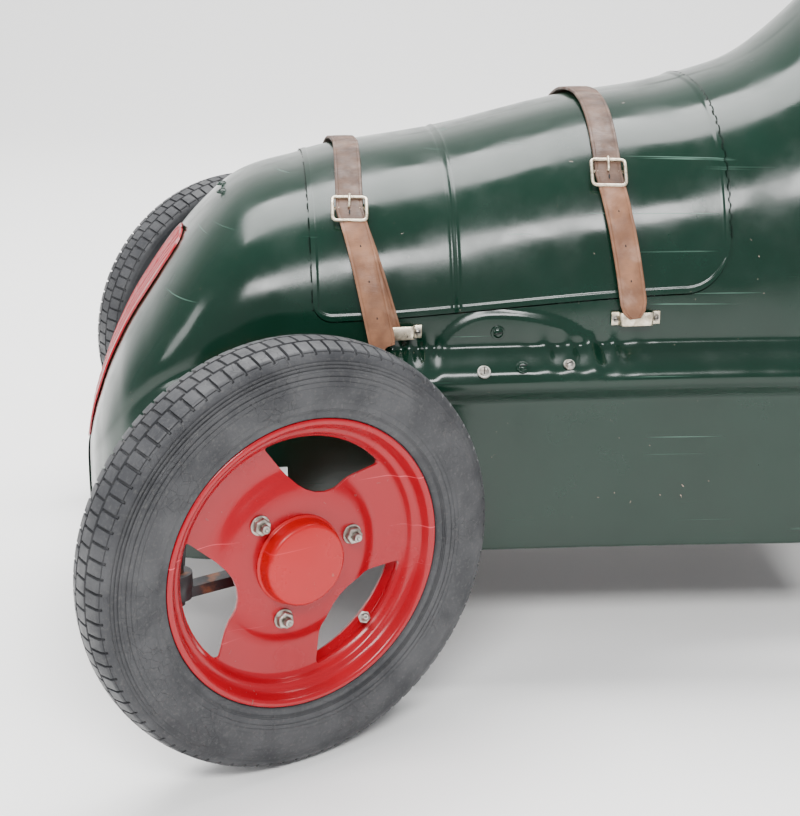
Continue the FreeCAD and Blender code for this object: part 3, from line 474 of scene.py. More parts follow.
# Finishes whose results are not kept here are found by name in carried_over.
plated("cast_aluminium_dull", (0.55, 0.55, 0.54), (0.30, 0.29, 0.27), 0.42, 90.0)
TAN = leather_material("strap_leather_tan", (0.27, 0.125, 0.065), (0.15, 0.065, 0.033), (0.42, 0.27, 0.20))
BROWN = leather_material("strap_leather_brown", (0.125, 0.068, 0.044), (0.06, 0.032, 0.021),
                         (0.25, 0.175, 0.135))
SEAT = leather_material("seat_vinyl_aged", (0.15, 0.028, 0.018), (0.07, 0.012, 0.009), (0.26, 0.08, 0.05),
                        300.0, 0.42)
satin_black()


def plain_material(name, colour, rough, scale):
    """A simple finish with fine texture, for small fittings."""
    shader = Shader(name, colour, rough)
    tone = shader.step(shader.noise(scale, 4.0), 0.35, 0.7)
    pale = tuple(min(1.0, c * 1.6 + 0.012) for c in colour)
    shader.colour(shader.blend(tone, colour, pale))
    shader.rough(shader.step(shader.noise(scale * 2, 3.0), 0.3, 0.7, rough, rough + 0.2))
    shader.bump(shader.noise(scale * 3, 3.0), 0.15, 0.0003)
    return shader.mat


GRIP = plain_material("grip_black_satin", (0.016, 0.016, 0.017), 0.32, 120.0)
plain_material("lead_plastic_black", (0.02, 0.02, 0.021), 0.5, 150.0)
DIAL = plain_material("dial_face_black", (0.012, 0.012, 0.013), 0.4, 90.0)
DIAL_MARK = plain_material("dial_mark_cream", (0.72, 0.68, 0.55), 0.5, 200.0)
# Flat black that stands in for the shade inside screw slots and strap holes: painted shade.
SLOT_SHADE = plain_material("painted_slot_shade", (0.004, 0.004, 0.004), 0.8, 60.0)


# ---------------------------------------------------------------- body skins

def skin_point(along, across, height, sign, lift=0.0):
    """Push a point of the smooth body out to its pressed place."""
    press = skin_press(along, height, sign) + lift
    out = np.array([0.0, across, max(height - 240, 0) * 0.6])
    out /= max(np.linalg.norm(out), 1e-6)
    return np.array([along, sign * (across + press * out[1]), height + press * out[2]])


def bonnet_edge(along):
    """Height of the lower edge of the bonnet, with its two rounded corners."""
    share = (BONNET_FRONT - along) / (BONNET_FRONT - BONNET_REAR)
    base = 288 + 18 * smooth(share)
    front = max(0.0, 1 - (BONNET_FRONT - along) / 15.0)
    rear = max(0.0, 1 - (along - BONNET_REAR) / 34.0)
    base += 15 * (1 - math.sqrt(max(0.0, 1 - front ** 2)))
    base += 42 * (1 - math.sqrt(max(0.0, 1 - rear ** 2)))
    return base


def cockpit_edge(along):
    """Height of the cockpit's edge: the cowl's swept sides, the low sides and the rise to the tail."""
    share = max(along - (COWL_EDGE - COWL_SWEEP), 0) / COWL_SWEEP
    climb = 236 * share ** 2.3 * (0.55 + 0.45 * smooth(share))
    rear = max(TAIL_EDGE + TAIL_SWEEP - along, 0) / TAIL_SWEEP
    return COCKPIT_SIDE + climb + 98 * rear ** 2.2


def spread(low, high, count, dense_low=False, dense_high=False):
    """Places between two ends, closer together at the chosen ends."""
    share = np.linspace(0, 1, count)
    if dense_low and dense_high:
        share = 0.5 - 0.5 * np.cos(math.pi * share)
    elif dense_low:
        share = 1 - np.cos(share * math.pi / 2)
    elif dense_high:
        share = np.sin(share * math.pi / 2)
    return low + (high - low) * share


def band(places, low, high, rows, sign):
    """A patch of one side between two heights given as functions of the place."""
    grid = []
    for along in places:
        line = run_between(along, low(along), high(along), rows)
        grid.append([skin_point(along, across, height, sign) for across, height in line])
    return np.array(grid)


def no_lift(along, height):
    """The lift of a patch that lies on the body."""
    return 0.0


def both_sides(along, line, lift=no_lift):
    """A section's points from the left side over the crown to the right side."""
    left, right = [[skin_point(along, across, height, sign, lift(along, height)) for across, height in line]
                   for sign in (1, -1)]
    left[-1][1] = 0.0
    return left + right[-2::-1]


def over_band(places, low, rows):
    """A patch from a height on the left, over the crown, down to the same height on the right."""
    return np.array([both_sides(along, run_between(along, low(along), ABOVE_CROWN, rows))
                     for along in places])


def sill_roll(places, sign):
    """The folded lower edge of the side."""
    grid = []
    for along in places:
        sill = station(along)[0]
        line = [(sill - 5, SILL + 3.0), (sill - 4.6, SILL + 1.2), (sill - 3.0, SILL + 0.3),
                (sill - 1.4, SILL + 0.6), (sill - 0.4, SILL + 1.6), (sill, SILL + FOLD)]
        grid.append([skin_point(along, across, height, sign) for across, height in line])
    return np.array(grid)


def constant(value):
    """A function that gives one height everywhere."""
    return lambda along: value


def belt_height(along):
    """A line above the crease that lower and upper patches share."""
    crease = station(along)[3]
    crown = station(along)[5]
    return crease + min(11.0, 0.2 * (crown - crease))


def end_cap(along, bulge):
    """A shallow dished patch that closes the sheet at the tip of the nose or tail."""
    outline = np.array([skin_point(along, across, height, 1) for across, height in
                        run_between(along, SILL + 1.0, ABOVE_CROWN, 40)])
    mirror = outline[-2::-1] * np.array([1, -1, 1])
    outline = np.concatenate([outline, mirror])
    centre = np.array([along, 0, (SILL + outline[:, 2].max()) / 2])
    return np.array([centre + (outline - centre) * share + np.array([bulge * (1 - share ** 2), 0, 0])
                     for share in np.linspace(1, 0.02, 10)])


def body_skin():
    """The main body: lower sides with their folded sill, scuttle, cockpit sides and tail."""
    patches = []
    gap_rear = REAR_AXLE_X - 18
    gap_front = REAR_AXLE_X + 18
    gap_top = 180
    cowl = COWL_EDGE - 0.5
    bonnet_rear = BONNET_REAR - 0.6
    bonnet_front = BONNET_FRONT - SEAM
    fine_from = 340
    rear_run = spread(TAIL_TIP, gap_rear, 130)
    front_run = np.concatenate([spread(gap_front, fine_from, 200)[:-1], spread(fine_from, bonnet_front, 190)])
    for sign in (1, -1):
        for run in (rear_run, front_run):
            patches.append(band(run, constant(SILL + FOLD), belt_height, 96, sign))
            patches.append(sill_roll(run, sign))
        patches.append(band(spread(gap_rear, gap_front, 14), constant(gap_top), belt_height, 60, sign))
        patches.append(band(spread(bonnet_rear, bonnet_front, 120, True, True), belt_height,
                            lambda along: bonnet_edge(along) - 1.2, 14, sign))
        patches.append(band(spread(TAIL_EDGE, cowl, 130), belt_height, cockpit_edge, 60, sign))
    patches.append(over_band(spread(cowl, bonnet_rear, 90), belt_height, 90))
    patches.append(over_band(spread(TAIL_TIP, TAIL_EDGE, 160), belt_height, 90))
    patches.append(end_cap(TAIL_TIP, -2.0))
    return sheet_mesh("body_skin", patches, GREEN, "car",
                      ["side_panel_left", "side_panel_right", "scuttle", "tail_shell"], "body_green")


def nose_skin():
    """The nose cowl, wrapped from sill to sill, set a hair inside the bonnet's front edge."""
    window_rear = FRONT_AXLE_X - 16
    window_front = FRONT_AXLE_X + 92
    window_low = 120
    window_high = 176
    rear = BONNET_FRONT - SEAM
    fold = constant(SILL + FOLD)
    window = spread(window_rear, window_front, 50)
    patches = [over_band(spread(rear, window_rear, 14), fold, 130),
               over_band(spread(window_front, NOSE_TIP, 60, False, True), fold, 130),
               over_band(window, constant(window_high), 100)]
    places = np.concatenate([spread(rear, 740, 60)[:-1], spread(740, NOSE_TIP, 50, False, True)])
    for sign in (1, -1):
        patches.append(band(window, fold, constant(window_low), 12, sign))
        patches.append(sill_roll(places, sign))
    patches.append(end_cap(NOSE_TIP, 1.5))
    return sheet_mesh("nose_skin", patches, GREEN, "car", ["nose_cowl"], "body_green")


def bonnet_lift(along, height):
    """The hemmed edge and the two folded stiffening creases of the bonnet, in millimetres."""
    edge = min(BONNET_FRONT - along, along - BONNET_REAR, (height - bonnet_edge(along)) * 0.9)
    hem = 0.9 * (1 - smooth((edge - 3.0) / 2.5))
    crease = 0.8 * math.exp(-((along - 499) / 1.7) ** 2) - 0.5 * math.exp(-((along - 503) / 1.6) ** 2)
    return 0.7 + hem + crease


def bonnet_skin():
    """The lift-off bonnet: one curved panel with a hem and a stiffening crease."""
    places = np.concatenate([spread(BONNET_REAR, 340, 50, True)[:-1], spread(340, 485, 60)[:-1],
                             spread(485, 515, 60)[:-1], spread(515, 590, 40)[:-1],
                             spread(590, BONNET_FRONT, 50, False, True)])
    grid = []
    for along in places:
        points = half_section(along)
        arc = arc_lengths(points)
        first = np.interp(bonnet_edge(along), points[:, 1], arc)
        spots = np.concatenate([first + np.linspace(0, 8, 14)[:-1], np.linspace(first + 8, arc[-1], 90)])
        grid.append(both_sides(along, points_at(spots, points, arc), bonnet_lift))
    return sheet_mesh("bonnet_skin", [np.array(grid)], GREEN, "bonnet_lid", ["bonnet"], "body_green")


# ---------------------------------------------------------------- small mesh tools

def rounded(points, radius, steps=4):
    """Round the corners of an open profile with arcs; each point may carry its own radius."""
    result = [tuple(points[0][:2])]
    for before, here, after in zip(points, points[1:], points[2:]):
        own = here[2] if len(here) > 2 else radius
        start = Vector(before[:2])
        corner = Vector(here[:2])
        end = Vector(after[:2])
        back = start - corner
        ahead = end - corner
        reach = min(own, back.length * 0.48, ahead.length * 0.48)
        first = corner + back.normalized() * reach
        last = corner + ahead.normalized() * reach
        for step in range(steps + 1):
            share = step / steps
            spot = first * (1 - share) ** 2 + corner * (2 * share * (1 - share)) + last * share ** 2
            result.append((spot.x, spot.y))
    result.append(tuple(points[-1][:2]))
    return result


def shift(across, along, up):
    """A move by a distance given in millimetres."""
    return Matrix.Translation(Vector((across, along, up)) * MM)


def around(radius, place, angle):
    """A point at a radius and angle round the Y axis, given in millimetres and returned in metres."""
    return (radius * MM * math.cos(angle), place * MM, radius * MM * math.sin(angle))


def sweep_faces(rings, sides, closed_path=True, closed_ring=True):
    """Quads between neighbouring rings that have the same number of points."""
    faces = []
    for ring in range(rings if closed_path else rings - 1):
        a = ring * sides
        b = (ring + 1) % rings * sides
        for corner in range(sides if closed_ring else sides - 1):
            other = (corner + 1) % sides
            faces.append((a + corner, a + other, b + other, b + corner))
    return faces


def outward_mesh(name, verts, faces, weld=False):
    """A mesh whose face normals all point out, with points that coincide joined if asked."""
    mesh = bpy.data.meshes.new(name)
    mesh.from_pydata(verts, [], faces)
    work = bmesh.new()
    work.from_mesh(mesh)
    if weld:
        bmesh.ops.remove_doubles(work, verts=work.verts, dist=1e-6)
    bmesh.ops.recalc_face_normals(work, faces=work.faces)
    work.to_mesh(mesh)
    work.free()
    return mesh


def turned(name, profile, segments, mat, closed=False):
    """A piece turned from a profile of (radius, place along Y), in millimetres, round the Y axis."""
    verts = [around(radius, place, 2 * math.pi * segment / segments)
             for segment in range(segments) for radius, place in profile]
    faces = sweep_faces(segments, len(profile), True, closed)
    return link(name, shade_smooth(outward_mesh(name, verts, faces, True)), mat)


def apply_modifiers(piece):
    """Replace a piece's mesh by what its modifiers make of it."""
    bpy.context.view_layer.update()
    graph = bpy.context.evaluated_depsgraph_get()
    mesh = bpy.data.meshes.new_from_object(piece.evaluated_get(graph))
    mesh.name = piece.name
    piece.modifiers.clear()
    piece.data = mesh
    return piece


def bevelled(piece, width, segments=2, angle=35):
    """Round a piece's sharp edges and shade it smoothly."""
    bevel = piece.modifiers.new("edges", "BEVEL")
    bevel.width = width * MM
    bevel.segments = segments
    bevel.limit_method = "ANGLE"
    bevel.angle_limit = math.radians(angle)
    weight = piece.modifiers.new("normals", "WEIGHTED_NORMAL")
    weight.keep_sharp = True
    apply_modifiers(piece)
    shade_smooth(piece.data)
    return piece


def joined(name, pieces):
    """Join several objects into one named piece."""
    bpy.ops.object.select_all(action="DESELECT")
    for piece in pieces:
        piece.select_set(True)
    bpy.context.view_layer.objects.active = pieces[0]
    bpy.ops.object.join()
    pieces[0].name = name
    pieces[0].data.name = name
    return pieces[0]


def placed(piece, matrix):
    """Move a piece's mesh by a matrix, leaving the object at the origin."""
    piece.data.transform(matrix)
    if matrix.determinant() < 0:
        piece.data.flip_normals()
    return piece


# ---------------------------------------------------------------- wheels

# For each wheel: end and side of the car, body its axle is on, body it turns with, roll in degrees.
CORNERS = {
    "front_left": (1, 1, "knuckle_left", "wheel_fl", 138),
    "front_right": (1, -1, "knuckle_right", "wheel_fr", -40),
    "rear_left": (-1, 1, "car", "wheel_rl", -75),
    "rear_right": (-1, -1, "car", "crank", 20),
}


def corner_matrix(corner):
    """Place of a wheel whose axle is local +Y outward."""
    end, side, _, _, roll = CORNERS[corner]
    turn = 0.0 if side > 0 else math.pi
    if end > 0:
        place = Vector((FRONT_AXLE_X - side * SPINDLE * math.sin(STEER),
                        side * (KINGPIN_Y + SPINDLE * math.cos(STEER)), WHEEL_RADIUS))
        turn += STEER
    else:
        place = Vector((REAR_AXLE_X, side * REAR_WHEEL_Y, WHEEL_RADIUS))
    return (Matrix.Translation(place * MM) @ Matrix.Rotation(turn, 4, "Z")
            @ Matrix.Rotation(math.radians(roll), 4, "Y").inverted())


def on_corner(piece, corner, slot, node):
    """Put a piece made round local +Y onto its wheel, standing for that wheel's CAD node."""
    placed(piece, corner_matrix(corner))
    return finish_piece(piece, CORNERS[corner][3], slot, "%s_%s" % (node, corner))


# The tread: blocks round the tyre, then places across it. Each ring of the wall has a height, a
# radius and a width.
BLOCKS = 90
ROW_EDGES = (6.6, 8.4, 20.4)
TREAD_DEPTH = 2.3
SIDEWALL = 22
WALL_RINGS = ((0.35, 118.0, 0.9), (0.3, 143, 0.8))


def tread_depth(across, between_blocks):
    """Depth of the tread at a place across the tyre, in a cross groove or on a block, in millimetres."""
    size = abs(across)
    if ROW_EDGES[0] < size < ROW_EDGES[1]:
        return TREAD_DEPTH
    if size < ROW_EDGES[2] + 6:
        fade = 1.0 if size < ROW_EDGES[2] else max(0.0, 1 - (size - ROW_EDGES[2]) / 6)
        deep = 0.75 if size < ROW_EDGES[0] else 1.0
        return TREAD_DEPTH * deep * fade if between_blocks else 0.0
    return 0.0


def tyre_profile():
    """The outer face of the tyre from bead to bead, as (place across, radius)."""
    half = rounded([(-20.8, 107.6), (-24.4, 107.8, 1.0), (-25.0, 109.4, 1.0), (-24.6, 111.4, 1.0),
                    (-26.8, 114.5, 3.0), (-28.3, 124, 8.0), (-28.0, 136, 10.0), (-25.4, 146.5, 7.0),
                    (-21.4, 153.2, 2.2), (-19.6, 155.4, 1.0), (-8.3, 158.4, 8.0),
                    (0, WHEEL_RADIUS, 3.0)], 2.0, 3)
    fine = []
    for (a, r), (b, q) in zip(half, half[1:]):
        pieces = max(1, int(math.hypot(b - a, q - r) / 2.6))
        fine += [(a + (b - a) * step / pieces, r + (q - r) * step / pieces) for step in range(pieces)]
    fine.append(half[-1])
    for edge in ROW_EDGES[:2]:
        for nudge in (-0.25, 0.25):
            place = -(edge + nudge)
            fine.append((place, float(np.interp(place, [p for p, _ in fine], [r for _, r in fine]))))
    fine.sort()
    return fine + [(-place, radius) for place, radius in fine[-2::-1]]


def tyre(corner):
    """Block-tread tyre with smooth sidewalls and plain moulded rings."""
    profile = tyre_profile()
    inner = [(20.8, 102.4), (14.2, 101.6), (9.2, 97.4), (-9.2, 97.4), (-14.2, 101.6), (-20.8, 102.4)]
    phases = (0.0, 0.11, 0.16, 0.24, 0.42, 0.62, 0.84, 0.95)
    sunk = 2
    verts = []
    rng = random.Random(corner)
    wobble = [rng.uniform(-0.25, 0.25) for _ in range(BLOCKS)]
    for block in range(BLOCKS):
        for index, phase in enumerate(phases):
            for place, radius in profile:
                size = abs(place)
                stagger = 0.5 * float(smooth((ROW_EDGES[1] - size) / (ROW_EDGES[1] - ROW_EDGES[0])))
                angle = 2 * math.pi * (block + phase + stagger + 0.05 * wobble[block] * (size > 9)) / BLOCKS
                if size > SIDEWALL:
                    ring = sum(tall * math.exp(-((radius - middle) / reach) ** 2)
                               for tall, middle, reach in WALL_RINGS)
                    verts.append(around(radius + ring * 0.2, place + math.copysign(ring, place), angle))
                else:
                    verts.append(around(radius - tread_depth(place, index < sunk), place, angle))
            angle = 2 * math.pi * (block + phase) / BLOCKS
            verts += [around(radius, place, angle) for place, radius in inner]
    faces = sweep_faces(BLOCKS * len(phases), len(profile) + len(inner))
    mesh = shade_smooth(outward_mesh("tyre_" + corner, verts, faces))
    mesh.set_sharp_from_angle(angle=math.radians(38))
    piece = link("tyre_aged_" + corner, mesh, RUBBER)
    return on_corner(piece, corner, "tyre_rubber", "tyre")


RIM_FACE = [
    (107.0, 22.0), (107.4, 24.2, 1.0), (105.4, 24.9, 1.2), (102.6, 24.0, 1.4), (99.4, 17.2, 2.0),
    (97.6, 15.2, 1.5), (94.2, 14.2, 1.5), (91.6, 9.4, 2.2), (89.4, 7.4, 2.0), (66, 3.2, 7), (57, 9.6, 5),
    (45, 11.2, 3), (14, 11.2, 2), (14, 16), (8.2, 16), (8.2, -11), (13.8, -11), (13.8, 8.6, 2), (44, 8.8, 3),
    (56, 7.2, 5), (66, 0.9, 7), (88.0, 4.8, 2), (91.4, 2.0, 2), (93.6, -12, 2), (98.0, -16, 2),
    (102.4, -24, 1.4), (105.4, -24.9, 1.2), (107.4, -24.2, 1), (107.0, -22), (101.0, -14.6, 2),
    (96.4, -10.4, 2), (96.4, 10.4, 2), (101.0, 14.6, 2),
]
OPENING_OUTER = 90.2
OPENING_HALF = math.radians(33)
OPENING_INNER = (41.5, 0, 29.0)
OPENING_CORNER = 9.0


def opening_cutter(name, index):
    """A prism in the shape of one opening of the wheel disc: a rounded, pinched segment."""
    outline = []
    for step in range(13):
        angle = -OPENING_HALF + 2 * OPENING_HALF * step / 12
        outline.append((OPENING_OUTER * math.cos(angle), OPENING_OUTER * math.sin(angle)))
    corner_x = OPENING_OUTER * math.cos(OPENING_HALF)
    corner_y = OPENING_OUTER * math.sin(OPENING_HALF)
    outline[0] = (corner_x, -corner_y, OPENING_CORNER)
    outline[-1] = (corner_x, corner_y, OPENING_CORNER)
    outline.append(OPENING_INNER)
    outline = rounded(outline + outline[:2], 0.4, 6)[1:-1]
    turn = math.radians(90 + 120 * index)
    verts = [((across * math.cos(turn) - up * math.sin(turn)) * MM, depth * MM,
              (across * math.sin(turn) + up * math.cos(turn)) * MM)
             for depth in (-9, 14) for across, up in outline]
    count = len(outline)
    faces = [tuple(range(count)), tuple(range(2 * count - 1, count - 1, -1))]
    faces += [(step, step + count, (step + 1) % count + count, (step + 1) % count) for step in range(count)]
    return link(name, outward_mesh(name, verts, faces), None)


def rim(corner):
    """Pressed three-spoke wheel with a stepped, rolled rim."""
    profile = rounded(RIM_FACE + RIM_FACE[:2], 0.9, 3)[1:-1]
    piece = turned("rim_aged_" + corner, profile, 144, RED, True)
    cutters = [opening_cutter("cutter_%s_%d" % (corner, index), index) for index in range(3)]
    for index, cutter in enumerate(cutters):
        cut = piece.modifiers.new("opening_%d" % index, "BOOLEAN")
        cut.object = cutter
        cut.operation = "DIFFERENCE"
        cut.solver = "EXACT"
    apply_modifiers(piece)
    for cutter in cutters:
        bpy.data.objects.remove(cutter)
    bevelled(piece, 0.7, 2, 50)
    piece.data.materials.clear()
    piece.data.materials.append(RED)
    return on_corner(piece, corner, "wheel_red", "rim")


def hub_cap(corner):
    """Turned hub cap: a short drum with a rounded shoulder and a slightly domed face."""
    profile = rounded([(33.4, 11.3), (33.6, 12.4, 0.6), (31.6, 13.2, 0.8), (31.2, 20.5, 1.2),
                       (29.6, 24.0, 2.4), (16, 25.6, 10), (0.01, 26.0)], 1.0, 4)
    return on_corner(turned("cap_aged_" + corner, profile, 96, CAP_RED), corner, "wheel_red", "hub_cap")


def hex_nut(name, radius, height, bore):
    """A chamfered hexagon nut on its washer, with a threaded stud that ends hollow, axle along +Y."""
    work = bmesh.new()
    rings = ((radius * 0.9, 0.0), (radius, 0.9), (radius, height - 0.9), (radius * 0.88, height),
             (bore + 0.5, height), (bore + 0.3, height - 0.5))
    made = [[work.verts.new(around(size, place, math.pi / 3 * corner)) for corner in range(6)]
            for size, place in rings]
    for low, high in zip(made, made[1:]):
        for corner in range(6):
            other = (corner + 1) % 6
            work.faces.new((low[corner], low[other], high[other], high[corner]))
    mesh = bpy.data.meshes.new(name)
    bmesh.ops.recalc_face_normals(work, faces=work.faces)
    work.to_mesh(mesh)
    work.free()
    nut = link(name, mesh, STEEL)
    bevelled(nut, 0.35, 2, 25)
    threads = [(bore, 0.0)]
    place = height - 0.4
    while place < height + 3.6:
        threads += [(bore, place), (bore - 0.28, place + 0.35)]
        place += 0.7
    threads += [(bore, place), (bore * 0.86, place + 0.7), (bore * 0.45, place + 0.8),
                (bore * 0.4, place - 0.9), (0.01, place - 1.1)]
    stud = turned(name + "_stud", threads, 24, STEEL)
    edge = radius * 1.12
    washer = rounded([(bore, -0.2), (edge, -0.2, 0.3), (edge, 1.1, 0.4), (bore, 1.3)], 0.3, 3)
    return joined(name, [nut, stud, turned(name + "_washer", washer, 32, STEEL)])


NUT_CIRCLE = 44.5


def wheel_nuts(corner):
    """Three nuts round the hub cap, each turned its own way."""
    rng = random.Random("nuts" + corner)
    pieces = []
    for index in range(3):
        angle = math.radians(-90 + 120 * index)
        nut = hex_nut("nut_%s_%d" % (corner, index), 6.6, 5.6, 3.2)
        spin = Matrix.Rotation(rng.uniform(0, 1), 4, "Y")
        seat = shift(NUT_CIRCLE * math.cos(angle), 11.4, NUT_CIRCLE * math.sin(angle))
        pieces.append(placed(nut, seat @ spin))
    return on_corner(joined("nuts_aged_" + corner, pieces), corner, "plated_steel", "wheel_nuts")


def valve_stem(corner):
    """Tyre valve: a stepped, threaded stem leaning out of the rim well through one opening."""
    profile = [(3.6, -4), (3.6, 0), (2.9, 0.6), (2.9, 9)]
    place = 9.0
    while place < 19:
        profile += [(2.9, place), (2.55, place + 0.4)]
        place += 0.8
    profile += [(2.5, place), (2.1, place + 0.6), (2.1, place + 3.4), (1.7, place + 4), (1.0, place + 4),
                (0.9, place + 2.4), (0.01, place + 2.2)]
    stem = turned("valve_aged_" + corner, profile, 28, STEEL)
    collar = rounded([(2.9, 0.2), (4.8, 0.4, 0.3), (4.8, 2.8, 0.4), (2.9, 3.2)], 0.3, 2)
    nut = turned("valve_nut_" + corner, collar, 6, STEEL)
    piece = joined("valve_aged_" + corner, [stem, nut])
    lean = Matrix.Rotation(math.radians(-38), 4, "X")
    placed(piece, corner_matrix(corner) @ shift(0, 4.5, 86) @ lean)
    return finish_piece(piece, CORNERS[corner][3], "plated_steel", "valve_" + corner)


def wheels():
    """All four wheels."""
    for corner in CORNERS:
        tyre(corner)
        rim(corner)
        hub_cap(corner)
        wheel_nuts(corner)
        valve_stem(corner)


# ---------------------------------------------------------------- strips, tubes and straps

def section_frame(along, drop):
    """Point on the body and its outward direction at a signed distance down from the crown."""
    points = half_section(along)[::-1]
    arc = arc_lengths(points)
    size = abs(drop)
    here = points_at(size, points, arc)
    run = points_at(size + 2.5, points, arc) - points_at(max(size - 2.5, 0), points, arc)
    out = np.array([-run[1], run[0]]) / np.linalg.norm(run)
    sign = -1.0 if drop < 0 else 1.0
    return np.array([along, sign * here[0], here[1]]), np.array([0.0, sign * out[0], out[1]])


def drop_at(along, height):
    """Distance down the sheet from the crown to a height on the side."""
    points = half_section(along)[::-1]
    return float(np.interp(-height, -points[:, 1], arc_lengths(points)))


def on_side(along, height, sign):
    """Point on one side of the body at a height, and its outward direction."""
    return section_frame(along, sign * drop_at(along, height))


def belt_profile(width, thick):
    """Cross section of a leather strap: creased lines near its two rounded edges."""
    half = width / 2
    right = [(half - 0.5, 0), (half, 0.5), (half, thick - 0.6), (half - 0.6, thick), (half - 1.8, thick),
             (half - 2.3, thick - 0.4), (half - 2.9, thick), (half * 0.4, thick + 0.15)]
    return right + [(-across, up) for across, up in right[::-1]]


def strip_profile(width, thick):
    """Cross section of a flat metal strip with softened edges."""
    half = width / 2
    right = [(half - 0.3, 0), (half, 0.3), (half, thick - 0.3), (half - 0.3, thick)]
    return right + [(-across, up) for across, up in right[::-1]]


def ribbon(name, spots, ups, widths, thick, mat, profile=belt_profile):
    """Sweep a flat profile along a path whose outward directions are given, in millimetres."""
    spots = np.array(spots, float)
    ups = np.array(ups, float)
    ahead = np.gradient(spots, axis=0)
    ahead /= np.linalg.norm(ahead, axis=1, keepdims=True)
    sides = np.cross(ahead, ups)
    sides /= np.linalg.norm(sides, axis=1, keepdims=True)
    ups = np.cross(sides, ahead)
    verts = [tuple((spot + side * across + up * tall) * MM)
             for spot, side, up, width in zip(spots, sides, ups, widths)
             for across, tall in profile(width, thick)]
    count = len(verts) // len(spots)
    last = len(verts) - count
    faces = sweep_faces(len(spots), count, False)
    faces += [tuple(range(count)), tuple(last + corner for corner in reversed(range(count)))]
    mesh = shade_smooth(outward_mesh(name, verts, faces))
    mesh.set_sharp_from_angle(angle=math.radians(50))
    return link(name, mesh, mat)


def tube(name, spots, radius, mat, closed=False, sides=12):
    """Sweep a circle along a path, in millimetres."""
    spots = np.array(spots, float)
    ahead = np.roll(spots, -1, axis=0) - np.roll(spots, 1, axis=0) if closed else np.gradient(spots, axis=0)
    ahead /= np.linalg.norm(ahead, axis=1, keepdims=True)
    up = np.array([0.31, 0.52, 0.79])
    verts = []
    for spot, front in zip(spots, ahead):
        up = up - front * np.dot(front, up)
        up /= np.linalg.norm(up)
        side = np.cross(front, up)
        for corner in range(sides):
            angle = 2 * math.pi * corner / sides
            verts.append(tuple((spot + (up * math.cos(angle) + side * math.sin(angle)) * radius) * MM))
    faces = sweep_faces(len(spots), sides, closed)
    if not closed:
        last = len(verts) - sides
        faces += [tuple(reversed(range(sides))), tuple(last + corner for corner in range(sides))]
    return link(name, shade_smooth(outward_mesh(name, verts, faces)), mat)


def facing(place, direction):
    """A matrix that puts local +Y along a direction at a place given in millimetres."""
    turn = Vector((0, 1, 0)).rotation_difference(Vector(direction).normalized())
    return Matrix.Translation(Vector(place) * MM) @ turn.to_matrix().to_4x4()


def slab(name, size, mat, width=0.8):
    """A bevelled block centred on the origin, sizes in millimetres."""
    work = bmesh.new()
    bmesh.ops.create_cube(work, size=1.0)
    bmesh.ops.scale(work, vec=Vector(size) * MM, verts=work.verts)
    mesh = bpy.data.meshes.new(name)
    work.to_mesh(mesh)
    work.free()
    return bevelled(link(name, mesh, mat), width, 3, 30)


# The straps from front to rear: place at the crown, place and height at the buckle, place and
# height at the free end.
STRAPS = {"front": (575, 580, 363, 557, 263), "rear": (374, 380, 390, 364, 288)}
SIDES = {1: "left", -1: "right"}


def strap_path(name, sign, low, high, count, lifts):
    """Spots and outward directions along one side of a strap between two shares of its length."""
    crown_x, buckle_x, buckle_z, end_x, end_z = STRAPS[name]
    total = drop_at(end_x, end_z)
    buckle = drop_at(buckle_x, buckle_z) / total
    spots = []
    ups = []
    for share in np.linspace(low, high, count):
        along = float(np.interp(share, [0, buckle, 1], [crown_x, buckle_x, end_x]))
        spot, up = section_frame(along, sign * share * total)
        wave = 0.25 * noise.noise(Vector((share * 21.0, sign * 3.0, crown_x)))
        lift = float(np.interp(share, *lifts(buckle))) + wave
        spots.append(spot + up * lift)
        ups.append(up)
    return spots, ups


def tongue_lifts(buckle):
    """Height of the tongue over the sheet: up over the buckle's bar, then hanging a little free."""
    return ([0, buckle - 0.12, buckle - 0.02, buckle + 0.03, buckle + 0.12, 0.92, 1.0],
            [1.9, 1.9, 3.4, 3.9, 4.9, 7.6, 7.0])


def under_lifts(buckle):
    """Height of the short strap that comes up from the loop to the buckle."""
    return ([0, 1.0], [1.5, 1.5])


def buckle_piece(name, spot, up, along_strap):
    """A rounded wire frame with its bar and prong, set on the strap."""
    side = Vector(along_strap).cross(Vector(up)).normalized()
    down = Vector(up).cross(side).normalized()
    corners = rounded([(0, -11.4), (13.2, -11.4), (13.2, 11.4), (-13.2, 11.4), (-13.2, -11.4), (0, -11.4)],
                      4.0, 6)[:-1]

    def spots(points):
        return [Vector(spot) + side * across - down * along + Vector(up) * lift
                for across, along, lift in points]

    frame_wire = tube(name + "_frame", spots([(a, b, 3.4 - 0.012 * b * b) for a, b in corners]), 1.35,
                      NICKEL, True)
    bar = tube(name + "_bar", spots([(-13, 1.5, 0.4), (0, 1.5, 0.2), (13, 1.5, 0.4)]), 1.2, NICKEL)
    prong = tube(name + "_prong", spots([(0.5, 0.5, 2.6), (0.2, 2.6, 4.4), (0.0, 6.0, 4.6),
                                         (-0.1, 10.0, 4.2), (-0.2, 13.2, 3.4)]), 0.95, NICKEL)
    return joined(name, [frame_wire, bar, prong])


def slot_shade_mark(name, spot, up, forward, length=4.4, width=1.2):
    """A narrow slot punched in the strap, drawn as a thin black lozenge of painted shade."""
    side = Vector(forward).cross(Vector(up)).normalized()
    ahead = Vector(up).cross(side).normalized()
    count = 14
    verts = []
    for lift in (0.12, -0.18):
        for step in range(count):
            angle = 2 * math.pi * step / count
            place = Vector(spot) + ahead * length / 2 * math.cos(angle) + side * width / 2 * math.sin(angle)
            verts.append(tuple((place + Vector(up) * lift) * MM))
    faces = sweep_faces(2, count, False) + [tuple(range(count)), tuple(range(2 * count - 1, count - 1, -1))]
    return link(name, outward_mesh(name, verts, faces), SLOT_SHADE)


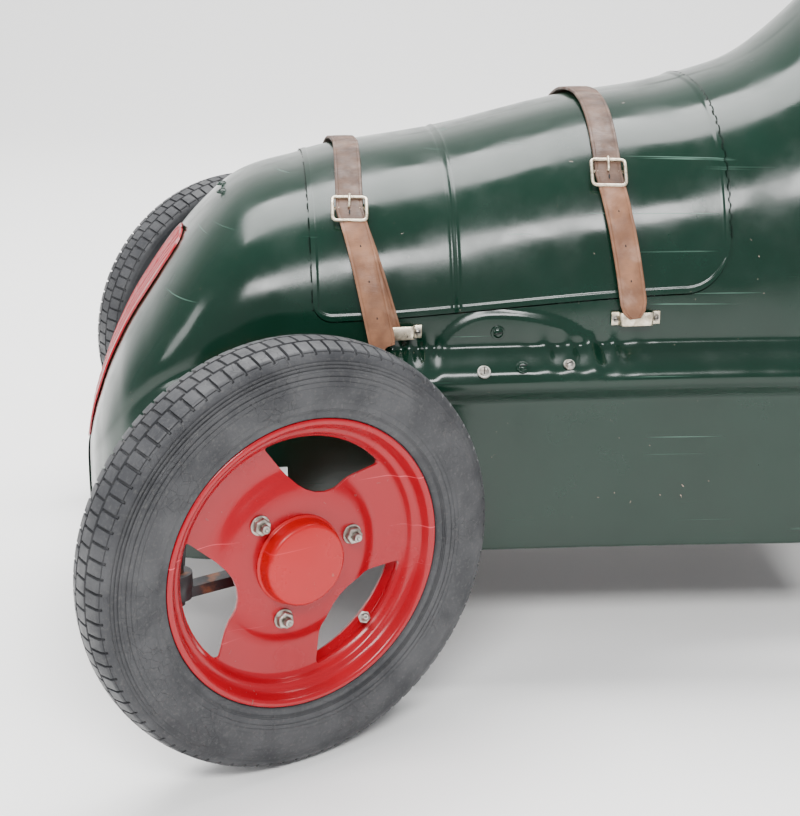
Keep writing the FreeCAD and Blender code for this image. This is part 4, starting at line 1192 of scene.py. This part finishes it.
def bonnet_straps():
    """Both straps: the brown top, the tan free ends and under straps, the buckles, and the punched slots as
    black marks of painted shade.
    """
    browns = []
    tans = []
    marks = []
    buckles = []
    for name, (_, buckle_x, buckle_z, end_x, end_z) in STRAPS.items():
        total = drop_at(end_x, end_z)
        share = drop_at(buckle_x, buckle_z) / total
        cut_share = share + 11.5 / total
        left = strap_path(name, 1, 0, cut_share, 70, tongue_lifts)
        right = strap_path(name, -1, 0, cut_share, 70, tongue_lifts)
        spots = right[0][:0:-1] + left[0]
        ups = right[1][:0:-1] + left[1]
        browns.append(ribbon("strap_top_" + name, spots, ups, [21] * len(spots), 2.6, BROWN))
        for sign in (1, -1):
            tag = "%s_%s" % (name, SIDES[sign])
            spots, ups = strap_path(name, sign, cut_share - 0.004, 1.0, 60, tongue_lifts)
            widths = np.interp(range(60), [0, 52, 56, 59], [20.6, 20.6, 17.5, 9.0]).tolist()
            tans.append(ribbon("strap_end_" + tag, spots, ups, widths, 2.4, TAN))
            low_spots, low_ups = strap_path(name, sign, share + 2.0 / total, 0.93, 40, under_lifts)
            shift = np.array([-7.0 if name == "front" else -2.0, 0, 0])
            low_spots = [spot - shift * place for spot, place in zip(low_spots, np.linspace(0.0, -1.0, 40))]
            tans.append(ribbon("strap_under_" + tag, low_spots, low_ups, [19.5] * 40, 2.2, TAN))
            for place in (0.22, 0.47, 0.72):
                index = int(60 * place)
                ahead = spots[index + 1] - spots[index]
                marks.append(slot_shade_mark("slot_%s_%d" % (tag, index), spots[index] + ups[index] * 2.42,
                                       ups[index], ahead))
            centre, up = section_frame(buckle_x, sign * share * total)
            ahead = left[0][60] - left[0][50]
            ahead = ahead * np.array([1, sign, 1])
            buckles.append(buckle_piece("buckle_" + tag, centre + up * 4.4, up, ahead))
            marks.append(slot_shade_mark("slot_mid_" + tag, centre + up * 6.6 + ahead * 0.2, up, ahead))
    finish_piece(joined("straps_brown", browns), "bonnet_lid", "strap_leather", "bonnet_straps")
    finish_piece(joined("straps_tan", tans), "bonnet_lid", "strap_leather")
    # The punched slots are joined as one piece of black painted shade.
    finish_piece(joined("strap_slot_shades", marks), "bonnet_lid", "strap_leather")
    finish_piece(joined("buckles_worn", buckles), "bonnet_lid", "buckle_nickel", "strap_buckles")


def dome_screw(name, place, direction, radius, mat, turn):
    """A domed slotted screw head on a thin washer; its slot is a thin black bar of painted shade."""
    dome = rounded([(0.01, 2.6), (radius * 0.55, 2.35, 1), (radius * 0.92, 1.3, 1), (radius, 0.4, 0.3),
                    (radius, -0.6)], 0.6, 4)
    flat = rounded([(radius * 0.8, 0.7), (radius * 1.3, 0.6, 0.3), (radius * 1.35, -0.6)], 0.3, 3)
    head = turned(name, dome, 28, mat)
    washer = turned(name + "_washer", flat, 32, mat)
    # The slot is a thin black bar of painted shade set into the dome.
    groove = placed(slab(name + "_groove", (radius * 1.5, 0.8, 0.9), SLOT_SHADE, 0.1), shift(0, 2.3, 0))
    piece = joined(name, [head, washer, groove])
    return placed(piece, facing(place, direction) @ Matrix.Rotation(turn, 4, "Y"))


# The screws of each side boss: place along the car, height, finish and radius of the head.
SIDE_SCREWS = ((469, 277, GREEN, 4.2), (482, 250, STEEL, 4.0), (452, 252, GREEN, 3.8), (416, 253, STEEL, 3.4))


def body_screws():
    """The screws of the nose and of the two side bosses, some painted over and some worn bare."""
    pieces = []
    for sign in (1, -1):
        for along, up, mat, radius in SIDE_SCREWS:
            spot, out = on_side(along, up, sign)
            name = "side_screw_%d_%s" % (along, SIDES[sign])
            seat = spot + out * (boss_press(along, up) + 0.6)
            pieces.append(dome_screw(name, seat, out, radius, mat, along * 1.3))
        spot, out = section_frame(678, sign * 16)
        pieces.append(dome_screw("nose_screw_%d" % sign, spot + out * 0.5, out, 3.8, GREEN, sign * 0.7))
    finish_piece(joined("screws_worn", pieces), "car", "plated_steel", "body_screws")


def footman_loops():
    """The four plated loops on the body under the straps' ends, each a bent strip with two screws."""
    pieces = []
    for name, along, up in (("front", 547, 279), ("rear", 362, 287)):
        for sign in (1, -1):
            spot, out = on_side(along, up, sign)
            shape = rounded([(-19, 0.9), (-12.5, 0.9, 1.5), (-11.8, 6.4, 1.8), (11.8, 6.4, 1.8),
                             (12.5, 0.9, 1.5), (19, 0.9)], 1.6, 5)
            points = [spot + np.array([across, 0, 0]) + out * lift for across, lift in shape]
            ups = [np.array([-rise, 0, 0]) + out * run for run, rise in np.gradient(np.array(shape), axis=0)]
            tag = "%s_%d" % (name, sign)
            widths = [10.5] * len(points)
            pieces.append(ribbon("loop_" + tag, points, ups, widths, 1.3, NICKEL, strip_profile))
            for side in (-15.8, 15.8):
                seat = spot + np.array([side, 0, 0]) + out * 2.0
                pieces.append(dome_screw("loop_screw_%s_%d" % (tag, side), seat, out, 2.2, STEEL, side))
    finish_piece(joined("loops_worn", pieces), "car", "buckle_nickel", "footman_loops")


# ---------------------------------------------------------------- grille

def nose_table():
    """Half widths of the nose at many places and heights, for finding its front surface."""
    places = np.linspace(690, NOSE_TIP, 221)
    heights = np.linspace(120, 345, 226)
    widths = []
    for along in places:
        points = half_section(along)
        widths.append(np.interp(heights, points[:, 1], points[:, 0], right=-1.0))
    return places, heights, widths


GRILLE_LOW = 147
GRILLE_HIGH = 332
GRILLE_END = 12
GRILLE_SHARE = 0.58
SLAT_PITCH = 11.0


def grille():
    """The convex red grille: a rolled surround and upright slats that follow the nose."""
    places, heights, widths = nose_table()

    def front(across, height):
        column = np.array([np.interp(height, heights, row) for row in widths])
        return float(np.interp(-abs(across), -column, places)) if column[0] > abs(across) else places[0]

    slat_low = GRILLE_LOW + GRILLE_END
    slat_high = 318
    levels = np.concatenate([spread(GRILLE_LOW, slat_low, 14, True)[:-1],
                             spread(slat_low, slat_high, 70)[:-1],
                             spread(slat_high, slat_high + GRILLE_END, 14, False, True)])
    known = ((147, 4), (150, 21), (154, 32), (160, 44), (172, 54), (190, 62.5), (220, 70.5), (260, 74.5),
             (300, 74), (316, 66), (323, 57), (327, 45), (330, 12))
    half_widths = GRILLE_SHARE * np.interp(levels, [z for z, _ in known], [w for _, w in known])
    grid = []
    for level, half in zip(levels, half_widths):
        row = []
        for share in np.linspace(-1, 1, 241):
            across = half * share
            edge = min(half - abs(across), level - GRILLE_LOW + 2, GRILLE_HIGH - level)
            slat = 0.5 + 0.5 * math.cos(2 * math.pi * across / SLAT_PITCH)
            inner = smooth((edge - 4.5) / 2.0)
            ring = 1.6 * smooth((edge + 0.5) / 1.6) * (1 - inner)
            lift = ring + inner * (-1.2 + 2.4 * smooth((slat - 0.25) * 2.2)) + 0.9
            row.append((front(across, level) + lift * 0.9, across, level + lift * 0.4))
        grid.append(row)
    sheet_mesh("grille_red", [np.array(grid)], GRILLE_RED, "car", ["grille"], "grille_red", 1.2)


# ---------------------------------------------------------------- cockpit

def cockpit_bead():
    """The padded roll along the cockpit's edge."""
    path = []
    for along in np.linspace(TAIL_EDGE, COWL_EDGE, 150):
        height = cockpit_edge(along)
        path.append((along, float(run_between(along, height, height + 0.1, 2)[0][0]), height))
    over, back = [[(along, across, height) for across, height in run_between(along, low, ABOVE_CROWN, count)]
                  for along, low, count in ((COWL_EDGE, path[-1][2], 60), (TAIL_EDGE, path[0][2], 50))]
    left = back[:0:-1] + path + over[1:]
    right = [(along, -across, height) for along, across, height in left[::-1]]
    spots = []
    for index, (along, across, height) in enumerate(left + right[1:-1]):
        swell = 0.35 * noise.noise(Vector((index * 0.13, 4.0, 0)))
        spots.append((along, across, height + swell))
    spots = [spot for spot, after in zip(spots, spots[1:] + spots[:1]) if math.dist(spot, after) > 0.4]
    finish_piece(tube("cockpit_roll", spots, 4.3, SEAT, True, 16), "car", "seat_vinyl", "cockpit_trim")


CLOTH_FRAMES = 20


def pad(node, swell, keep, channels, axis):
    """A padded piece: the CAD solid inflated as cloth, then sewn channels pressed in."""
    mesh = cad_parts[node].data.copy()
    mesh.name = "pad_" + node
    low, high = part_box(node)
    middle = (low + high) / 2
    mesh.materials.clear()
    piece = link("pad_" + node, mesh, SEAT)
    mesh.transform(Matrix.Translation(middle) @ Matrix.Diagonal((*keep, 1)) @ Matrix.Translation(-middle))
    remesh = piece.modifiers.new("remesh", "REMESH")
    remesh.mode = "VOXEL"
    remesh.voxel_size = 0.0055
    apply_modifiers(piece)
    start = np.array([vert.co for vert in piece.data.vertices])
    cloth = piece.modifiers.new("cloth", "CLOTH")
    cloth.settings.use_pressure = True
    cloth.settings.uniform_pressure_force = 4.0
    cloth.settings.effector_weights.gravity = 0
    cloth.settings.tension_stiffness = 25
    cloth.point_cache.frame_end = CLOTH_FRAMES
    for number in range(1, CLOTH_FRAMES + 1):
        bpy.context.scene.frame_set(number)
    apply_modifiers(piece)
    bpy.context.scene.frame_set(1)
    ended = np.array([vert.co for vert in piece.data.vertices])
    move = ended - start
    size = np.maximum(np.linalg.norm(move, axis=1, keepdims=True), 1e-9)
    ended = start + move / size * np.minimum(size, swell)
    other = 1 - axis if axis < 2 else 0
    centre = (ended.max(axis=0) + ended.min(axis=0)) / 2
    for place in channels:
        near = np.exp(-((ended[:, other] - place * MM) / 0.0028) ** 2)[:, None]
        pull = np.zeros_like(ended)
        pull[:, axis] = (centre[axis] - ended[:, axis]) * 0.16
        ended += pull * near
    ended = np.clip(ended, np.array(low) + 0.0004, np.array(high) + np.array((0.001, 0.001, 0.003)))
    piece.data.vertices.foreach_set("co", ended.ravel())
    fine = piece.modifiers.new("fine", "SUBSURF")
    fine.levels = 1
    fine.render_levels = 1
    apply_modifiers(piece)
    shade_smooth(piece.data)
    return piece


def welt(name, piece, level, axis, inset=0.4):
    """Piping sewn round a pad: a thin tube that follows the pad's widest line."""
    points = np.array([vert.co for vert in piece.data.vertices]) / MM
    flat = [index for index in range(3) if index != axis]
    band_points = points[np.abs(points[:, axis] - level) < 4]
    centre = points.mean(axis=0)
    spots = []
    for step in range(120):
        angle = 2 * math.pi * step / 120
        aim = np.array([math.cos(angle), math.sin(angle)])
        local = band_points[:, flat] - centre[flat]
        reach = local @ aim
        across = np.abs(local @ np.array([-aim[1], aim[0]]))
        near = reach[(across < 8) & (reach > 0)]
        size = near.max() - inset if len(near) else 50
        spot = np.array(centre)
        spot[flat[0]] += aim[0] * size
        spot[flat[1]] += aim[1] * size
        spot[axis] = level
        spots.append(spot)
    spots = np.array(spots)
    for _ in range(2):
        spots = (np.roll(spots, 1, axis=0) + 2 * spots + np.roll(spots, -1, axis=0)) / 4
    return tube(name, spots, 1.9, SEAT, True, 10)


def seats():
    """Seat cushion and backrest in old leathercloth with sewn channels, and piping round the cushion."""
    cushion = pad("seat_cushion", 0.009, (0.96, 0.96, 0.84), (-69, -23, 23, 69), 2)
    piping = welt("cushion_piping", cushion, 258, 2)
    cushion = joined("seat_cushion_soft", [cushion, piping])
    finish_piece(cushion, "car", "seat_vinyl", "seat_cushion")
    back = pad("seat_back", 0.006, (0.86, 0.95, 0.95), (-60, -20, 20, 60), 0)
    back.name = "seat_back_soft"
    back.data.name = "seat_back_soft"
    finish_piece(back, "car", "seat_vinyl", "seat_back")


def dial(name, across, height, radius, marks, turn):
    """One instrument: bezel, dark face with cream marks, pointer and centre cap."""
    bezel = turned(name, rounded(
        [(radius - 4.2, 9.4), (radius - 3.2, 12.6, 0.8), (radius - 1.2, 13.4, 0.8), (radius, 11.6, 0.8),
         (radius + 0.2, 1.5, 0.5), (radius + 1.2, 0.4)], 0.6, 4), 64, CHROME)
    face = turned(name + "_face", [(radius - 3.8, 8.6), (radius - 4.0, 9.6), (0.01, 9.7)], 64, DIAL)
    pieces = [bezel, face]
    for step in range(marks):
        angle = math.radians(-220 + 260 * step / (marks - 1))
        long = 4.2 if step % 2 == 0 else 2.4
        mark = slab("%s_mark_%d" % (name, step), (long * radius / 24, 0.3, 0.8), DIAL_MARK, 0.05)
        reach = radius - 6.4
        seat = shift(reach * math.cos(angle), 9.85, -reach * math.sin(angle))
        pieces.append(placed(mark, seat @ Matrix.Rotation(angle, 4, "Y")))
    pointer = slab(name + "_pointer", (radius * 0.62, 0.5, 1.0), DIAL_MARK, 0.1)
    placed(pointer, Matrix.Rotation(turn, 4, "Y") @ shift(radius * 0.24, 10.6, 0))
    cap = turned(name + "_cap", rounded([(0.01, 12.0), (2.4, 11.6, 0.6), (2.6, 9.7)], 0.6, 3), 24, CHROME)
    piece = joined(name, pieces + [pointer, cap])
    return placed(piece, facing((151, across, height), (-1, 0, 0)))


def instruments():
    """The three dials on the dashboard, facing the driver."""
    pieces = [dial("dial_left", 62, 455, 24, 13, 2.3), dial("dial_right", -62, 455, 24, 13, 0.9),
              dial("dial_top", 0, 505, 15, 7, 1.7)]
    finish_piece(joined("dials", pieces), "car", "dial_chrome", "instruments")


WHEEL_CENTRE = (62.3, 0, 475.7)
COLUMN_AXIS = (-math.cos(math.radians(25)), 0, math.sin(math.radians(25)))


def steering_wheel():
    """Steering wheel: a ring with finger grips, three ribbed steel spokes and a centre nut."""
    verts = []
    turns = 216
    sides = 20
    for step in range(turns):
        angle = 2 * math.pi * step / turns
        for corner in range(sides):
            tilt = 2 * math.pi * corner / sides
            front = max(0.0, math.cos(tilt - math.radians(215)))
            size = 7.1 + 0.55 * front * math.cos(36 * angle)
            verts.append(around(100 + size * math.cos(tilt), size * math.sin(tilt), angle))
    mesh = bpy.data.meshes.new("wheel_ring")
    mesh.from_pydata(verts, [], sweep_faces(turns, sides))
    ring = link("wheel_ring", shade_smooth(mesh), GRIP)
    fittings = []
    for index in range(3):
        angle = math.radians(60 + 120 * index)
        aim = np.array([math.cos(angle), 0, math.sin(angle)])
        spots = [aim * reach + np.array([0, -1.4 + 1.4 * smooth((reach - 20) / 60), 0])
                 for reach in np.linspace(15, 95, 24)]
        widths = np.linspace(19, 15, 24)
        ups = [(0, 1, 0)] * 24
        fittings.append(ribbon("spoke_%d" % index, spots, ups, widths, 2.2, STEEL, strip_profile))
        rib = [spot + np.array([0, 2.4, 0]) for spot in spots[3:-3]]
        fittings.append(tube("spoke_rib_%d" % index, rib, 1.3, STEEL))
    fittings.append(turned("wheel_boss", rounded(
        [(8.2, -12), (13, -12, 1), (19.5, -3, 3), (20, 3.4, 1.2), (15, 5.6, 1), (10.5, 6, 0.6),
         (10.2, 9, 1.2), (0.01, 9.6)], 1.0, 4), 56, STEEL))
    fittings.append(placed(hex_nut("wheel_nut", 7.6, 5.0, 3.4), shift(0, 9, 0)))
    place = facing(WHEEL_CENTRE, COLUMN_AXIS) @ Matrix.Rotation(-STEER, 4, "Y")
    placed(ring, place)
    finish_piece(ring, "column", "grip_black", "steering_wheel")
    metal = joined("wheel_spokes", fittings)
    placed(metal, place)
    finish_piece(metal, "column", "plated_steel")


def pedal_treads():
    """Raised rubber bars on the face of each pedal, and the handbrake's grip."""
    rod_arm = 160
    crank_throw = 50
    swing = math.asin(crank_throw / rod_arm)
    pivot = shift(300, 0, WHEEL_RADIUS + rod_arm * math.cos(swing))
    for side, sign, body in (("left", 1, "pedal_l"), ("right", -1, "pedal_r")):
        bars = []
        for index in range(6):
            bar = slab("tread_%s_%d" % (side, index), (3.4, 56, 3.2), GRIP, 0.9)
            bars.append(placed(bar, shift(-6.9, sign * 109, -182 + 6.6 * (index - 2.5))))
        piece = joined("pedal_tread_" + side, bars)
        placed(piece, pivot @ Matrix.Rotation(-sign * swing, 4, "Y"))
        finish_piece(piece, body, "grip_black")
    profile = [(0.01, 45.2), (6.0, 44.6), (9.2, 41)]
    for index in range(6):
        low = 38 - 6.2 * index
        profile += [(10.2, low), (10.2, low - 3.4), (9.5, low - 4.4)]
    profile += [(9.9, 0.6), (9.0, -0.4)]
    grip = turned("brake_grip", rounded(profile, 0.8, 3), 40, GRIP)
    placed(grip, facing((-10, -141, 298), (0, 0, 1)))
    finish_piece(grip, "brake_lever", "grip_black")


CARRIED = {
    "chassis_black_worn": ["front_axle_beam", "stub_axle_left", "stub_axle_right", "track_rod",
                           "steering_column", "column_bearings", "crank_axle", "axle_bearings", "pedal_left",
                           "pedal_right", "pedal_rod_left", "pedal_rod_right", "pedal_shaft", "chassis_frame",
                           "floor_pan", "seat_pan", "handbrake_bracket", "engine_block"],
    "plated_steel_dull": ["handbrake_lever", "spark_plugs"],
    "cast_aluminium_dull": ["rocker_cover"],
    "lead_plastic_black": ["plug_leads"],
    "body_green_enamel": ["dashboard"],
}


def carried_over():
    """Give each CAD piece that stays its own worn finish."""
    for name, nodes in CARRIED.items():
        for node in nodes:
            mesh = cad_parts[node].data
            mesh.materials.clear()
            mesh.materials.append(bpy.data.materials[name])


# ---------------------------------------------------------------- build

body_skin()
nose_skin()
bonnet_skin()
grille()
wheels()
bonnet_straps()
body_screws()
footman_loops()
cockpit_bead()
seats()
instruments()
steering_wheel()
pedal_treads()
carried_over()


# ---------------------------------------------------------------- camera, light and floor

CAMERA_PLACE = (664, 1328, 635)
CAMERA_YAW = math.radians(5.8)
CAMERA_PITCH = math.radians(19.5)
CAMERA_LENS = 70.6
SENSOR_WIDTH = 36


def camera():
    """The camera at the viewpoint that looks down on the front left corner."""
    data = bpy.data.cameras.new("camera_main")
    data.sensor_width = SENSOR_WIDTH
    data.lens = CAMERA_LENS
    view = bpy.data.objects.new("camera_main", data)
    bpy.context.scene.collection.objects.link(view)
    level = math.cos(CAMERA_PITCH)
    ahead = Vector((-math.sin(CAMERA_YAW) * level, -math.cos(CAMERA_YAW) * level, -math.sin(CAMERA_PITCH)))
    view.location = Vector(CAMERA_PLACE) * MM
    view.rotation_euler = ahead.to_track_quat("-Z", "Y").to_euler()
    bpy.context.scene.camera = view


def area_light(name, place, aim, size, power):
    """A large soft light aimed at a point."""
    data = bpy.data.lights.new(name, "AREA")
    data.shape = "RECTANGLE"
    data.size, data.size_y = size
    data.energy = power
    lamp = bpy.data.objects.new(name, data)
    bpy.context.scene.collection.objects.link(lamp)
    lamp.location = place
    lamp.rotation_euler = (Vector(aim) - Vector(place)).to_track_quat("-Z", "Y").to_euler()


def studio():
    """A pale floor that curves up behind, soft light and a bright surround."""
    curve_start = -2.4
    curve = 1.4
    profile = [(4.0, 0.0), (curve_start, 0.0)]
    for step in range(1, 13):
        angle = math.radians(90 * step / 12)
        profile.append((curve_start - curve * math.sin(angle), curve - curve * math.cos(angle)))
    profile.append((-3.8, 6.0))
    points = [(side, depth, up) for depth, up in profile for side in (-9, 9)]
    faces = [(2 * row, 2 * row + 1, 2 * row + 3, 2 * row + 2) for row in range(len(profile) - 1)]
    mesh = bpy.data.meshes.new("studio_floor")
    mesh.from_pydata(points, [], faces)
    paper = Shader("studio_paper", (0.93, 0.925, 0.905), 0.8).mat
    floor = link("studio_floor", shade_smooth(mesh), paper)
    world = bpy.data.worlds.new("studio_world")
    world.use_nodes = True
    sky = world.node_tree.nodes["Background"].inputs
    sky["Color"].default_value = (0.93, 0.94, 1.0, 1)
    sky["Strength"].default_value = 0.72
    bpy.context.scene.world = world
    area_light("light_key", (0.7, 2.2, 2.1), (0.35, 0.1, 0.25), (1.5, 0.55), 85)
    area_light("light_top", (0.2, -0.9, 2.9), (0.2, -0.3, 0.0), (3.6, 1.6), 250)
    area_light("light_front", (3.0, 1.1, 1.5), (0.6, 0, 0.2), (0.8, 1.4), 30)


studio()
camera()
bpy.context.view_layer.update()
